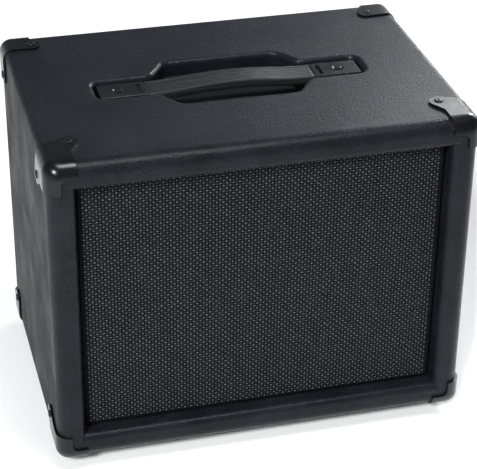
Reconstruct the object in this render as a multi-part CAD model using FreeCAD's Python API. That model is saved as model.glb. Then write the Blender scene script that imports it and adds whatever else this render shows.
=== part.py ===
"""Compact guitar speaker cabinet with one ten-inch driver, in millimetres.

The cabinet stands on its feet at z = 0, centred on x and y, with its front facing -Y.
"""
import FreeCAD
import Part
import math
import os

Vector = FreeCAD.Vector

# Cabinet body, measured over its covering
body_width = 418.0
body_depth = 290.0
body_height = 330.0
wall_thickness = 15.0
rail_thickness = 10.0
vinyl_thickness = 0.8
front_edge_radius = 14.0
long_edge_radius = 6.0
lip_edge_radius = 8.0
back_turn_in = 11.0

# Grille panel in the front opening
grille_recess = 17.0
grille_side_gap = 1.5
grille_frame_width = 18.0
grille_frame_thickness = 9.0
grille_edge_radius = 3.0
cloth_thickness = 1.0
cloth_turn_in = 12.0
pad_thickness = 3.0
pad_length = 30.0

# Baffle behind the grille
baffle_thickness = 15.0
board_gap = 0.7

# Handle pocket in the top
pocket_length = 273.0
pocket_mid_length = 116.0
pocket_shoulder_run = 18.0
pocket_end_radius = 10.0
pocket_bend_radius = 12.0
pocket_rim_radius = 5.0
pocket_set_back = 5.0
finger_room = 26.5
bearer_thickness = 15.0
bearer_margin = 12.0
pocket_floor_thickness = 9.0

# Strap handle and its end caps
cap_length = 48.0
cap_width = 30.0
cap_end_gap = 3.5
cap_side_gap = 4.5
cap_sink = 2.5
cap_wall = 2.2
cap_corner_radius = 3.0
cap_edge_radius = 1.2
cap_screw_from_mouth = 27.7
cap_boss_radius = 4.6
cap_slot_from_mouth = 7.5
cap_slot_length = 20.0
cap_slot_width = 4.0
strap_thickness = 9.0
strap_rise = 4.5
strap_edge_radius = 3.0
strap_play = 0.4
tongue_thickness = 4.0
tongue_tail = 9.0
core_thickness = 1.0
core_cover = 3.0
core_slack = 3.0

# Corner guards
guard_proud = 2.5
guard_flange = 12.5
guard_seat_gap = 0.1
guard_long_share = 0.75
guard_back_share = 0.64
guard_bend_radius = 6.0
front_ear_from_side = 28.0
front_ear_from_front = 45.5
front_ear_neck = 18.5
front_ear_edge = 44.0
front_lobe_radius = 9.5
rear_ear_from_side = 28.5
rear_ear_from_back = 23.6
rear_ear_neck = 13.6
rear_ear_edge = 31.0
rear_lobe_radius = 9.4
guard_head_sink = 1.0

# Black pan-head screws
screw_head_radius = 4.0
screw_head_height = 2.4
screw_shank_radius = 1.75
screw_recess_width = 0.9
screw_recess_depth = 1.4
screw_gap = 0.1
head_side_gap = 0.6
corner_screw_length = 13.0
board_screw_length = 24.0
plate_screw_length = 10.0
handle_screw_length = 21.0
foot_screw_length = 16.0

# Rubber feet
foot_height = 12.0
foot_top_radius = 19.0
foot_bottom_radius = 16.5
foot_well_radius = 6.5
foot_well_depth = 7.0
foot_edge_radius = 1.5
foot_from_side = 70.0
foot_from_end = 62.0

# Back boards and their cleats
back_board_thickness = 12.0
back_recess = 6.0
upper_board_height = 92.0
lower_board_height = 112.0
back_board_edge_radius = 2.0
cleat_width = 18.0
board_screw_from_edge = 20.0

# Ten-inch driver
driver_wall_gap = 19.7
driver_seat_width = 13.5
gasket_thickness = 3.0
gasket_width = 11.0
basket_sheet = 2.2
basket_flange_width = 19.5
basket_depth = 54.0
basket_shelf_depth = 38.0
basket_shelf_radius = 66.0
basket_shelf_width = 14.0
basket_cup_inset = 10.0
basket_bore_radius = 22.0
basket_bend_run = 6.0
basket_bend_drop = 4.0
basket_window_count = 8
basket_window_degrees = 27.0
driver_bolt_count = 8
driver_bolt_length = 14.0
coil_radius = 16.0
former_wall = 0.4
winding_wall = 0.6
winding_length = 11.0
coil_gap = 0.6
glue_gap = 0.1
cone_edge_depth = 4.0
cone_neck_depth = 30.0
cone_paper = 1.0
cone_neck_length = 5.0
dust_cap_radius = 22.0
dust_cap_height = 8.0
dust_cap_paper = 0.7
surround_width = 14.0
surround_rolls = 3
surround_skin = 0.8
surround_gap = 0.3
spider_rolls = 6
spider_skin = 0.7
spider_rim = 8.0
top_plate_radius = 55.0
top_plate_thickness = 7.0
magnet_radius = 60.0
magnet_bore_radius = 20.5
magnet_thickness = 16.0
back_plate_thickness = 7.0
pole_vent_radius = 4.0

# Terminal strip and flexible leads on the basket
tab_width = 20.0
tab_reach = 30.0
strip_length = 22.0
strip_width = 26.0
strip_thickness = 2.0
lug_width = 6.3
lug_thickness = 0.8
lug_height = 10.0
lug_spacing = 13.0
tinsel_radius = 0.8
tinsel_joint_across = 58.0
tinsel_joint_height = 14.0
tinsel_joint_gap = 1.0
# Hand-placed points of a flexible lead: beside the strip's outer end, and from there to its joint on the cone
strip_tinsel_route = [(-20.0, 6.5, 1.1), (-18.0, 14.0, 2.3), (-17.0, 20.0, -4.2)]
cone_tinsel_route = [(16.0, 6.5, 11.1), (8.0, 4.0, 4.1), (0.0, 0.0, 0.0)]

# Jack plate, socket and inside wiring
jack_from_side = 104.0
jack_plate_width = 70.0
jack_plate_height = 50.0
jack_plate_thickness = 1.5
jack_plate_corner = 5.0
plate_screw_inset = 7.0
jack_hole_radius = 18.0
jack_bore_radius = 3.25
jack_bore_depth = 32.0
bushing_radius = 4.7
bushing_reach = 5.0
bushing_gap = 0.15
jack_body_width = 20.0
jack_body_height = 18.0
jack_body_length = 34.0
jack_nut_radius = 7.5
jack_nut_height = 2.8
jack_lug_length = 8.0
jack_lug_width = 5.0
jack_lug_spacing = 11.0
lead_radius = 1.6
lead_end_gap = 0.4
clip_above_floor = 90.0
clip_behind_middle = 20.0
clip_length = 10.0
clip_width = 16.0
clip_height = 9.0
clip_hole_gap = 0.3
clip_spacing = 7.0
clip_straight = 18.0
lug_straight = 18.0
# Hand-placed points of a speaker lead, set off from the jack's lug, the clip and the terminal lug
from_lug_route = [(0.0, -24.0, 3.0)]
from_jack_route = [(32.0, -40.0, 12.0)]
to_clip_route = [(-18.0, 36.0, -8.0)]
from_clip_route = [(-14.0, -38.0, 14.0), (-44.0, -46.0, 36.0)]
to_lug_route = [(12.0, 30.0, -10.0)]

# Shares and running values
bend_share = 0.45
window_shelf_share = 0.16
window_bend_share = 0.10
surround_roll_share = 0.50
spider_roll_share = 0.35
head_round_share = 0.55
recess_length_share = 1.1
tip_share = 0.5
half_step_share = 0.5
joint_gap = 0.3
tolerance = 0.05
overrun = 5.0

# Levels that the pieces share
bottom_z = foot_height
top_z = foot_height + body_height
middle_z = foot_height + body_height / 2
front_y = -body_depth / 2
back_y = body_depth / 2
side_x = body_width / 2
wall_face = vinyl_thickness + wall_thickness
lip_width = wall_face + rail_thickness + vinyl_thickness
lip_depth = grille_recess + 2 * cloth_thickness + grille_frame_thickness + pad_thickness
baffle_front_y = front_y + lip_depth
baffle_back_y = baffle_front_y + baffle_thickness
inner_x = side_x - wall_face
inner_low_z = bottom_z + wall_face
inner_high_z = top_z - wall_face
driver_frame_radius = (inner_high_z - inner_low_z) / 2 - driver_wall_gap
driver_hole_radius = driver_frame_radius - driver_seat_width
screw_hole_radius = screw_shank_radius + screw_gap


def block(low, high):
    """Square block between two corners."""
    size = [top - base for base, top in zip(low, high)]
    return Part.makeBox(*size, Vector(*low))


def rounded_block(low, high, front_radius, long_radius, back_radius):
    """Block whose front, lengthwise and back edges are rounded, each by its own radius."""
    solid = block(low, high)
    document = FreeCAD.newDocument("rounding")
    base = document.addObject("Part::Feature", "base")
    base.Shape = solid
    fillet = document.addObject("Part::Fillet", "fillet")
    fillet.Base = base
    chosen = []
    for number, edge in enumerate(solid.Edges, 1):
        middle_y = edge.CenterOfMass.y
        radius = long_radius
        if math.isclose(middle_y, low[1], abs_tol=tolerance):
            radius = front_radius
        if math.isclose(middle_y, high[1], abs_tol=tolerance):
            radius = back_radius
        if radius > 0:
            chosen.append((number, radius, radius))
    fillet.Edges = chosen
    document.recompute()
    result = fillet.Shape.copy()
    FreeCAD.closeDocument(document.Name)
    return result


def rounded_face(points, radii, place):
    """Flat face with its corners rounded by arcs, set in space by place(u, v)."""
    spots = [place(u, v) for u, v in points]
    ends = []
    edges = []
    for index, spot in enumerate(spots):
        before = (spots[index - 1] - spot).normalize()
        after = (spots[(index + 1) % len(spots)] - spot).normalize()
        half = before.getAngle(after) / 2
        radius = radii[index]
        reach = radius / math.tan(half)
        first = spot + before * reach
        last = spot + after * reach
        if radius > 0:
            inward = (before + after).normalize()
            crown = spot + inward * (radius / math.sin(half) - radius)
            edges.append(Part.Arc(first, crown, last).toShape())
        ends.append((first, last))
    for index, (first, last) in enumerate(ends):
        following = ends[(index + 1) % len(ends)][0]
        if (following - last).Length > tolerance:
            edges.append(Part.LineSegment(last, following).toShape())
    return Part.Face(Part.Wire(Part.__sortEdges__(edges)))


def fillet_where(solid, radius, test):
    """Round the edges whose centre and ends all pass the test."""
    edges = []
    for edge in solid.Edges:
        spots = [edge.CenterOfMass] + [vertex.Point for vertex in edge.Vertexes]
        if all(test(spot) for spot in spots):
            edges.append(edge)
    return solid.makeFillet(radius, edges)


def near(value, target):
    """True where two levels are one."""
    return math.isclose(value, target, abs_tol=tolerance)


def aim(solid, position, direction):
    """Copy of a piece built along +Z, moved to a position and turned along a direction."""
    copy = solid.copy()
    copy.Placement = FreeCAD.Placement(position, FreeCAD.Rotation(Vector(0, 0, 1), direction))
    return copy


def mirrored(solid):
    """The piece at one corner, and its copies at the other three across x and mid-height."""
    across = solid.mirror(Vector(0, 0, 0), Vector(1, 0, 0))
    pair = [solid, across]
    below = [one.mirror(Vector(0, 0, middle_z), Vector(0, 0, 1)) for one in pair]
    return pair + below


def pan_screw(length):
    """Pan-head screw with a cross recess, its head on z = 0 and its shank below."""
    head = Part.makeCylinder(screw_head_radius, screw_head_height)
    head = fillet_where(head, screw_head_height * head_round_share,
                        lambda spot: near(spot.z, screw_head_height))
    reach = screw_head_radius * recess_length_share / 2
    half = screw_recess_width / 2
    floor = screw_head_height - screw_recess_depth
    for along, across in ((reach, half), (half, reach)):
        head = head.cut(block((-along, -across, floor), (along, across, screw_head_height + overrun)))
    tip = screw_shank_radius * 2
    shank = Part.makeCylinder(screw_shank_radius, length - tip, Vector(0, 0, tip - length))
    point = Part.makeCone(screw_shank_radius * tip_share, screw_shank_radius, tip, Vector(0, 0, -length))
    return head.fuse([shank, point]).removeSplitter()


def screw_hole(length):
    """Hole for a screw's shank, along -Z from z = 0."""
    return Part.makeCylinder(screw_hole_radius, length + overrun, Vector(0, 0, -length - screw_gap))


pieces = {}

# Handle pocket, a dog-bone outline let into the top panel
pocket_y = pocket_set_back
pocket_end_width = cap_width + 2 * cap_side_gap
pocket_mid_width = pocket_end_width + 2 * finger_room
pocket_half_length = pocket_length / 2
mid_half_length = pocket_mid_length / 2
shoulder_x = mid_half_length + pocket_shoulder_run
pocket_floor_z = inner_high_z


def on_level(level):
    """Place outline points on a level plane, centred on the pocket."""
    return lambda u, v: Vector(u, pocket_y + v, level)


def pocket_prism(inset):
    """Dog-bone prism through the top panel, wider by the inset all round."""
    tip = pocket_half_length + inset
    narrow = pocket_end_width / 2 + inset
    wide = pocket_mid_width / 2 + inset
    quarter = [(tip, narrow), (shoulder_x, narrow), (mid_half_length, wide)]
    bends = [pocket_end_radius + inset, pocket_bend_radius - inset, pocket_bend_radius + inset]
    points = list(quarter)
    radii = list(bends)
    points += [(-u, v) for u, v in reversed(quarter)]
    radii += reversed(bends)
    points += [(-u, -v) for u, v in quarter]
    radii += bends
    points += [(u, -v) for u, v in reversed(quarter)]
    radii += reversed(bends)
    face = rounded_face(points, radii, on_level(pocket_floor_z))
    return face.extrude(Vector(0, 0, wall_face + overrun))


def cabinet_form(inset):
    """Outside form of the cabinet, inset from the covering, with its openings and pocket."""
    low = (-side_x + inset, front_y + inset, bottom_z + inset)
    high = (side_x - inset, back_y - inset, top_z - inset)
    form = rounded_block(low, high, front_edge_radius - inset, long_edge_radius - inset,
                         long_edge_radius - inset)
    mouth_x = side_x - lip_width + inset
    mouth_low = bottom_z + lip_width - inset
    mouth_high = top_z - lip_width + inset
    form = form.cut(block((-mouth_x, front_y - overrun, mouth_low), (mouth_x, baffle_front_y, mouth_high)))
    form = fillet_where(
        form, lip_edge_radius - inset,
        lambda spot: near(spot.y, front_y + inset) and abs(spot.x) < mouth_x + tolerance
        and mouth_low - tolerance < spot.z < mouth_high + tolerance)
    rear = wall_face + vinyl_thickness - inset
    form = form.cut(block((-side_x + rear, back_y - back_turn_in, bottom_z + rear),
                          (side_x - rear, back_y + overrun, top_z - rear)))
    form = form.cut(pocket_prism(inset))
    return fillet_where(
        form, pocket_rim_radius - inset,
        lambda spot: near(spot.z, top_z - inset) and abs(spot.x) < pocket_half_length + overrun
        and abs(spot.y - pocket_y) < pocket_mid_width / 2 + overrun)


covering_form = cabinet_form(0)
wood_form = cabinet_form(vinyl_thickness)

# Corner guards: a moulded shell over each corner with an ear on the top and one on the side
guard_radius = front_edge_radius + guard_proud
guard_outside = rounded_block(
    (-side_x - guard_proud, front_y - guard_proud, bottom_z - guard_proud),
    (side_x + guard_proud, back_y + guard_proud, top_z + guard_proud),
    guard_radius, guard_radius * guard_long_share, guard_radius * guard_back_share)
guard_inside = rounded_block(
    (-side_x - guard_seat_gap, front_y - guard_seat_gap, bottom_z - guard_seat_gap),
    (side_x + guard_seat_gap, back_y + guard_seat_gap, top_z + guard_seat_gap),
    front_edge_radius + guard_seat_gap, long_edge_radius + guard_seat_gap,
    long_edge_radius + guard_seat_gap)
guard_shell = guard_outside.cut(guard_inside)
guard_margin = guard_proud + overrun


def ear_points(across, along, neck, edge, lobe):
    """Outline of an ear: across from the side, along from the end, drawn to its lobe's tangents."""
    corner_along = along - neck
    neck_reach = math.sqrt(neck ** 2 - lobe ** 2)
    neck_angle = math.asin(lobe / neck)
    neck_tangent = (across + neck_reach * math.sin(neck_angle),
                    corner_along + neck_reach * math.cos(neck_angle))
    gap = math.hypot(across, along - edge)
    edge_reach = math.sqrt(gap ** 2 - lobe ** 2)
    edge_angle = math.atan2(along - edge, across) + math.asin(lobe / gap)
    edge_tangent = (edge_reach * math.cos(edge_angle), edge + edge_reach * math.sin(edge_angle))
    return [(-guard_margin, -guard_margin), (across, -guard_margin), (across, corner_along),
            neck_tangent, (across, along), edge_tangent, (0, edge), (-guard_margin, edge)]


def corner_guard(across, along, neck, edge, lobe, end_y, inward):
    """Guard at the upper right corner of one end, and its two screws with their holes."""
    points = ear_points(across, along, neck, edge, lobe)
    sharp = [0] * len(points)
    flange_z = top_z - guard_flange
    flange_x = side_x - guard_flange
    depth = guard_flange + guard_margin
    up = Vector(0, 0, 1)
    out = Vector(1, 0, 0)
    top_face = rounded_face(points, sharp, lambda u, v: Vector(side_x - u, end_y + inward * v, flange_z))
    side_face = rounded_face(points, sharp, lambda u, v: Vector(flange_x, end_y + inward * v, top_z - u))
    screw_y = end_y + inward * along
    bend_x = flange_x - guard_bend_radius
    bend_z = flange_z - guard_bend_radius
    bend = block((bend_x, end_y - guard_margin, bend_z), (flange_x, end_y + guard_margin, flange_z))
    bend = bend.cut(Part.makeCylinder(guard_bend_radius, 2 * guard_margin,
                                      Vector(bend_x, end_y - guard_margin, bend_z), Vector(0, 1, 0)))
    zone = top_face.extrude(up * depth).fuse([
        Part.makeCylinder(lobe, depth, Vector(side_x - across, screw_y, flange_z), up),
        side_face.extrude(out * depth),
        Part.makeCylinder(lobe, depth, Vector(flange_x, screw_y, top_z - across), out), bend])
    guard = guard_shell.common(zone)
    seat = guard_proud - guard_head_sink
    screws = []
    holes = []
    for spot, direction in ((Vector(side_x - across, screw_y, top_z + seat), up),
                            (Vector(side_x + seat, screw_y, top_z - across), out)):
        sink = Part.makeCylinder(screw_head_radius + head_side_gap, overrun, spot, direction)
        hole = aim(screw_hole(corner_screw_length), spot, direction)
        guard = guard.cut([sink, hole])
        screws.append(aim(pan_screw(corner_screw_length), spot, direction))
        holes.append(hole)
    return guard.removeSplitter(), screws, holes


guard_names = ("top_right", "top_left", "bottom_right", "bottom_left")
corner_screws = []
corner_holes = []
front_guard = corner_guard(front_ear_from_side, front_ear_from_front, front_ear_neck, front_ear_edge,
                           front_lobe_radius, front_y, 1)
rear_guard = corner_guard(rear_ear_from_side, rear_ear_from_back, rear_ear_neck, rear_ear_edge,
                          rear_lobe_radius, back_y, -1)
for end, (guard, screws, holes) in (("front", front_guard), ("rear", rear_guard)):
    for name, copy in zip(guard_names, mirrored(guard)):
        pieces[f"{end}_{name}_corner"] = copy
    for screw, hole in zip(screws, holes):
        corner_screws += mirrored(screw)
        corner_holes += mirrored(hole)
pieces["corner_screws"] = Part.makeCompound(corner_screws)

# Rubber feet, each held by a screw up into the bottom panel
foot_screws = []
foot_holes = []
foot_places = {
    "front_left": (-side_x + foot_from_side, front_y + foot_from_end),
    "front_right": (side_x - foot_from_side, front_y + foot_from_end),
    "rear_left": (-side_x + foot_from_side, back_y - foot_from_end),
    "rear_right": (side_x - foot_from_side, back_y - foot_from_end)}
for name, (foot_x, foot_y) in foot_places.items():
    foot = Part.makeCone(foot_bottom_radius, foot_top_radius, foot_height, Vector(foot_x, foot_y, 0))
    foot = fillet_where(foot, foot_edge_radius, lambda spot: near(spot.z, 0))
    foot = foot.cut(Part.makeCylinder(foot_well_radius, foot_well_depth, Vector(foot_x, foot_y, 0)))
    seat = Vector(foot_x, foot_y, foot_well_depth)
    hole = aim(screw_hole(foot_screw_length), seat, Vector(0, 0, -1))
    pieces[f"{name}_foot"] = foot.cut(hole)
    foot_screws.append(aim(pan_screw(foot_screw_length), seat, Vector(0, 0, -1)))
    foot_holes.append(hole)
pieces["foot_screws"] = Part.makeCompound(foot_screws)

# Vinyl covering, wrapped round the front lip, the back edge and down into the pocket
pieces["vinyl_wrap"] = covering_form.cut(wood_form).cut(corner_holes + foot_holes)

# Plywood carcass: top and bottom over the full width, sides between them
tunnel = block((-inner_x, front_y - overrun, inner_low_z), (inner_x, back_y + overrun, inner_high_z))
walls = wood_form.cut(tunnel).cut(corner_holes + foot_holes)
reach_x = side_x + overrun
near_y = front_y - overrun
far_y = back_y + overrun
pieces["top_panel"] = walls.common(block((-reach_x, near_y, inner_high_z), (reach_x, far_y, top_z)))
pieces["bottom_panel"] = walls.common(block((-reach_x, near_y, bottom_z), (reach_x, far_y, inner_low_z)))
pieces["left_panel"] = walls.common(block((-reach_x, near_y, inner_low_z), (0, far_y, inner_high_z)))
pieces["right_panel"] = walls.common(block((0, near_y, inner_low_z), (reach_x, far_y, inner_high_z)))

# Front frame glued inside the front edge, and the baffle screwed to it from behind
frame_zone = block((-inner_x, near_y, inner_low_z), (inner_x, baffle_front_y, inner_high_z))
front_frame = wood_form.common(frame_zone)
baffle_x = inner_x - board_gap
baffle_low_z = inner_low_z + board_gap
baffle_high_z = inner_high_z - board_gap
baffle = block((-baffle_x, baffle_front_y, baffle_low_z), (baffle_x, baffle_back_y, baffle_high_z))
baffle = baffle.cut(Part.makeCylinder(driver_hole_radius, baffle_thickness,
                                      Vector(0, baffle_front_y, middle_z), Vector(0, 1, 0)))
rail_x = inner_x - rail_thickness / 2
rail_low_z = inner_low_z + rail_thickness / 2
rail_high_z = inner_high_z - rail_thickness / 2
baffle_screw_spots = []
for screw_x in (-rail_x, 0, rail_x):
    for screw_z in (rail_low_z, middle_z, rail_high_z):
        if screw_x or not near(screw_z, middle_z):
            baffle_screw_spots.append(Vector(screw_x, baffle_back_y, screw_z))
baffle_holes = [aim(screw_hole(board_screw_length), spot, Vector(0, 1, 0)) for spot in baffle_screw_spots]
pieces["front_frame"] = front_frame.cut(baffle_holes)
pieces["baffle_screws"] = Part.makeCompound(
    [aim(pan_screw(board_screw_length), spot, Vector(0, 1, 0)) for spot in baffle_screw_spots])

# Grille: a wooden frame with woven cloth stretched round it, held by hook-and-loop pads
grille_x = side_x - lip_width - grille_side_gap
grille_low_z = bottom_z + lip_width + grille_side_gap
grille_high_z = top_z - lip_width - grille_side_gap
grille_y = front_y + grille_recess
frame_front_y = grille_y + cloth_thickness
frame_back_y = frame_front_y + grille_frame_thickness
cloth_back_y = frame_back_y + cloth_thickness
frame_x = grille_x - cloth_thickness
frame_low_z = grille_low_z + cloth_thickness
frame_high_z = grille_high_z - cloth_thickness
frame_edge_radius = grille_edge_radius - cloth_thickness
cloth = rounded_block((-grille_x, grille_y, grille_low_z), (grille_x, cloth_back_y, grille_high_z),
                      grille_edge_radius, grille_edge_radius, 0)
frame = rounded_block((-frame_x, frame_front_y, frame_low_z), (frame_x, frame_back_y, frame_high_z),
                      frame_edge_radius, frame_edge_radius, 0)
cloth = cloth.cut(frame)
cloth = cloth.cut(block((-frame_x + cloth_turn_in, frame_front_y, frame_low_z + cloth_turn_in),
                        (frame_x - cloth_turn_in, cloth_back_y + overrun, frame_high_z - cloth_turn_in)))
frame = frame.cut(block(
    (-frame_x + grille_frame_width, frame_front_y - overrun, frame_low_z + grille_frame_width),
    (frame_x - grille_frame_width, frame_back_y + overrun, frame_high_z - grille_frame_width)))
pieces["grille_cloth"] = cloth
pieces["grille_frame"] = frame
pads = []
for pad_x in (-frame_x + cloth_turn_in + pad_length, 0, frame_x - cloth_turn_in - pad_length):
    for pad_low_z in (frame_low_z, frame_high_z - cloth_turn_in):
        pads.append(block((pad_x - pad_length / 2, cloth_back_y, pad_low_z),
                          (pad_x + pad_length / 2, baffle_front_y, pad_low_z + cloth_turn_in)))
pieces["grille_pads"] = Part.makeCompound(pads)

# Bearer under the top panel carries the handle, and a floor board closes the finger well
bearer_low_z = pocket_floor_z - bearer_thickness
bearer_x = pocket_half_length + bearer_margin
bearer_half_depth = pocket_mid_width / 2 + bearer_margin
well = [(mid_half_length, pocket_mid_width / 2), (-mid_half_length, pocket_mid_width / 2),
        (-shoulder_x, pocket_end_width / 2), (-shoulder_x, -pocket_end_width / 2),
        (-mid_half_length, -pocket_mid_width / 2), (mid_half_length, -pocket_mid_width / 2),
        (shoulder_x, -pocket_end_width / 2), (shoulder_x, pocket_end_width / 2)]
well_radii = [pocket_bend_radius] * len(well)
well_radii[2:4] = [pocket_bend_radius / 2] * 2
well_radii[6:8] = [pocket_bend_radius / 2] * 2
well_face = rounded_face(well, well_radii, on_level(bearer_low_z - overrun))
well_cut = well_face.extrude(Vector(0, 0, bearer_thickness + 2 * overrun))
bearer = block((-bearer_x, pocket_y - bearer_half_depth, bearer_low_z),
               (bearer_x, pocket_y + bearer_half_depth, pocket_floor_z)).cut(well_cut)
pieces["pocket_floor"] = block(
    (-shoulder_x - bearer_margin, pocket_y - bearer_half_depth, bearer_low_z - pocket_floor_thickness),
    (shoulder_x + bearer_margin, pocket_y + bearer_half_depth, bearer_low_z))

# Handle end caps on the bearer, each with a screw, a boss and a cross slot
cap_top_z = top_z - cap_sink
cap_outer_x = pocket_half_length - cap_end_gap
mouth_x = cap_outer_x - cap_length
cap_screw_x = mouth_x + cap_screw_from_mouth
strap_width = cap_width
strap_cap_z = cap_top_z - cap_wall - strap_play - tongue_thickness / 2
tongue_half_width = cap_width / 2 - cap_wall - strap_play
cap_screw_seat_z = cap_top_z - screw_head_height / 2
cap = block((mouth_x, pocket_y - cap_width / 2, pocket_floor_z),
            (cap_outer_x, pocket_y + cap_width / 2, cap_top_z))
cap = fillet_where(cap, cap_corner_radius,
                   lambda spot: near(spot.x, cap_outer_x) and near(abs(spot.y - pocket_y), cap_width / 2))
cap = fillet_where(cap, cap_edge_radius, lambda spot: near(spot.z, cap_top_z))
cap_cavity = block((mouth_x - overrun, pocket_y - tongue_half_width - strap_play, pocket_floor_z),
                   (cap_outer_x - cap_wall, pocket_y + tongue_half_width + strap_play, cap_top_z - cap_wall))
cap_boss = Part.makeCylinder(cap_boss_radius, cap_top_z - cap_wall - pocket_floor_z,
                             Vector(cap_screw_x, pocket_y, pocket_floor_z))
cap = cap.cut(cap_cavity).fuse(cap_boss).removeSplitter()
cap_seat = Vector(cap_screw_x, pocket_y, cap_screw_seat_z)
cap_hole = aim(screw_hole(handle_screw_length), cap_seat, Vector(0, 0, 1))
cap_dimple = Part.makeCone(screw_head_radius + head_side_gap,
                           screw_head_radius + head_side_gap + screw_head_height,
                           screw_head_height, cap_seat)
cap_slot = block((mouth_x + cap_slot_from_mouth - cap_slot_width / 2, pocket_y - cap_slot_length / 2,
                  cap_top_z - cap_wall - strap_play),
                 (mouth_x + cap_slot_from_mouth + cap_slot_width / 2, pocket_y + cap_slot_length / 2,
                  cap_top_z + overrun))
cap = cap.cut([cap_hole, cap_dimple, cap_slot])
handle_screw = aim(pan_screw(handle_screw_length), cap_seat, Vector(0, 0, 1))
handle_pair = Vector(0, 0, 0), Vector(1, 0, 0)
pieces["right_handle_cap"] = cap
pieces["left_handle_cap"] = cap.mirror(*handle_pair)
pieces["handle_screws"] = Part.makeCompound([handle_screw, handle_screw.mirror(*handle_pair)])
pieces["handle_bearer"] = bearer.cut([cap_hole, cap_hole.mirror(*handle_pair)])

# Strap: it leaves the caps level, bends up and crowns over the pocket, with a steel strip inside
strap_face_x = mouth_x - strap_play
strap_half_turn = math.atan(strap_rise / strap_face_x)
strap_turn = 2 * strap_half_turn
strap_bend = strap_face_x / (2 * math.sin(strap_turn))
strap_crown_z = strap_cap_z + strap_rise


def strap_arc(offset, middle, turn):
    """One edge of the strap's middle or of its right end, offset upwards from its centre line."""
    sign = 1 if middle else -1
    radius = strap_bend + sign * offset
    centre_x = 0 if middle else strap_face_x
    centre_z = strap_crown_z - strap_bend if middle else strap_cap_z + strap_bend
    angles = (-turn, 0, turn) if middle else (turn, turn / 2, 0)
    return [Vector(centre_x + sign * radius * math.sin(angle), 0, centre_z + sign * radius * math.cos(angle))
            for angle in angles]


def strap_band(half_thickness, half_width, middle, turn):
    """Curved band of the strap, its middle or its right end."""
    upper = strap_arc(half_thickness, middle, turn)
    lower = strap_arc(-half_thickness, middle, turn)
    wire = Part.Wire([Part.Arc(*upper).toShape(), Part.LineSegment(upper[2], lower[2]).toShape(),
                      Part.Arc(*reversed(lower)).toShape(), Part.LineSegment(lower[0], upper[0]).toShape()])
    face = Part.Face(wire)
    face.translate(Vector(0, pocket_y - half_width, 0))
    return face.extrude(Vector(0, 2 * half_width, 0))


def long_edges(solid):
    """Curved edges along the strap's sides."""
    return [edge for edge in solid.Edges if isinstance(edge.Curve, Part.Circle)]


core_half_width = tongue_half_width - core_cover
core_half = core_thickness / 2
slot_half = core_half + screw_gap
slot_half_width = core_half_width + screw_gap
grip_turn = strap_turn - joint_gap / strap_bend
grip = strap_band(strap_thickness / 2, strap_width / 2, True, grip_turn)
grip = grip.makeFillet(strap_edge_radius, long_edges(grip))
core_middle = strap_band(core_half, core_half_width, True, strap_turn)
pieces["strap_grip"] = grip.cut(strap_band(slot_half, slot_half_width, True, strap_turn))

end_band = strap_band(strap_thickness / 2, strap_width / 2, False, strap_turn)
end_band = end_band.makeFillet(strap_edge_radius, long_edges(end_band))
tongue_tip_x = cap_screw_x + tongue_tail
eyelet_half_width = cap_boss_radius + strap_play


def tongue(half_thickness, half_width):
    """Level tongue from the strap's face into the cap."""
    return block((strap_face_x, pocket_y - half_width, strap_cap_z - half_thickness),
                 (tongue_tip_x, pocket_y + half_width, strap_cap_z + half_thickness))


eyelet = block((cap_screw_x - core_slack, pocket_y - eyelet_half_width, strap_cap_z - strap_thickness),
               (cap_screw_x + core_slack, pocket_y + eyelet_half_width, strap_cap_z + strap_thickness))
eyelet = eyelet.fuse([
    Part.makeCylinder(eyelet_half_width, 2 * strap_thickness,
                      Vector(cap_screw_x + shift, pocket_y, strap_cap_z - strap_thickness))
    for shift in (-core_slack, core_slack)])
strap_end = end_band.fuse(tongue(tongue_thickness / 2, tongue_half_width)).cut(eyelet)
core_end = strap_band(core_half, core_half_width, False, strap_turn)
core_tongue = tongue(core_half, core_half_width).cut(eyelet)
core_slot = [strap_band(slot_half, slot_half_width, False, strap_turn), tongue(slot_half, slot_half_width)]
strap_end = strap_end.cut(core_slot)
core_right = core_end.fuse(core_tongue)
pieces["right_strap_end"] = strap_end
pieces["left_strap_end"] = strap_end.mirror(*handle_pair)
pieces["strap_core"] = core_middle.fuse([core_right, core_right.mirror(*handle_pair)]).removeSplitter()

# Back: two boards on side cleats with an open slot between them, and the jack plate on the lower board
board_back_y = back_y - back_recess
board_front_y = board_back_y - back_board_thickness
board_x = inner_x - vinyl_thickness - board_gap
board_low_z = inner_low_z + vinyl_thickness + board_gap
board_high_z = inner_high_z - vinyl_thickness - board_gap
cleat_x = inner_x - cleat_width
cleat_front_y = board_front_y - cleat_width
board_screw_x = inner_x - cleat_width / 2
lower_top_z = board_low_z + lower_board_height
upper_low_z = board_high_z - upper_board_height
backwards = Vector(0, 1, 0)
back_screw_spots = []
for screw_x in (-board_screw_x, board_screw_x):
    for screw_z in (board_low_z + board_screw_from_edge, lower_top_z - board_screw_from_edge,
                    upper_low_z + board_screw_from_edge, board_high_z - board_screw_from_edge):
        back_screw_spots.append(Vector(screw_x, board_back_y, screw_z))
back_holes = [aim(screw_hole(board_screw_length), spot, backwards) for spot in back_screw_spots]

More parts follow.
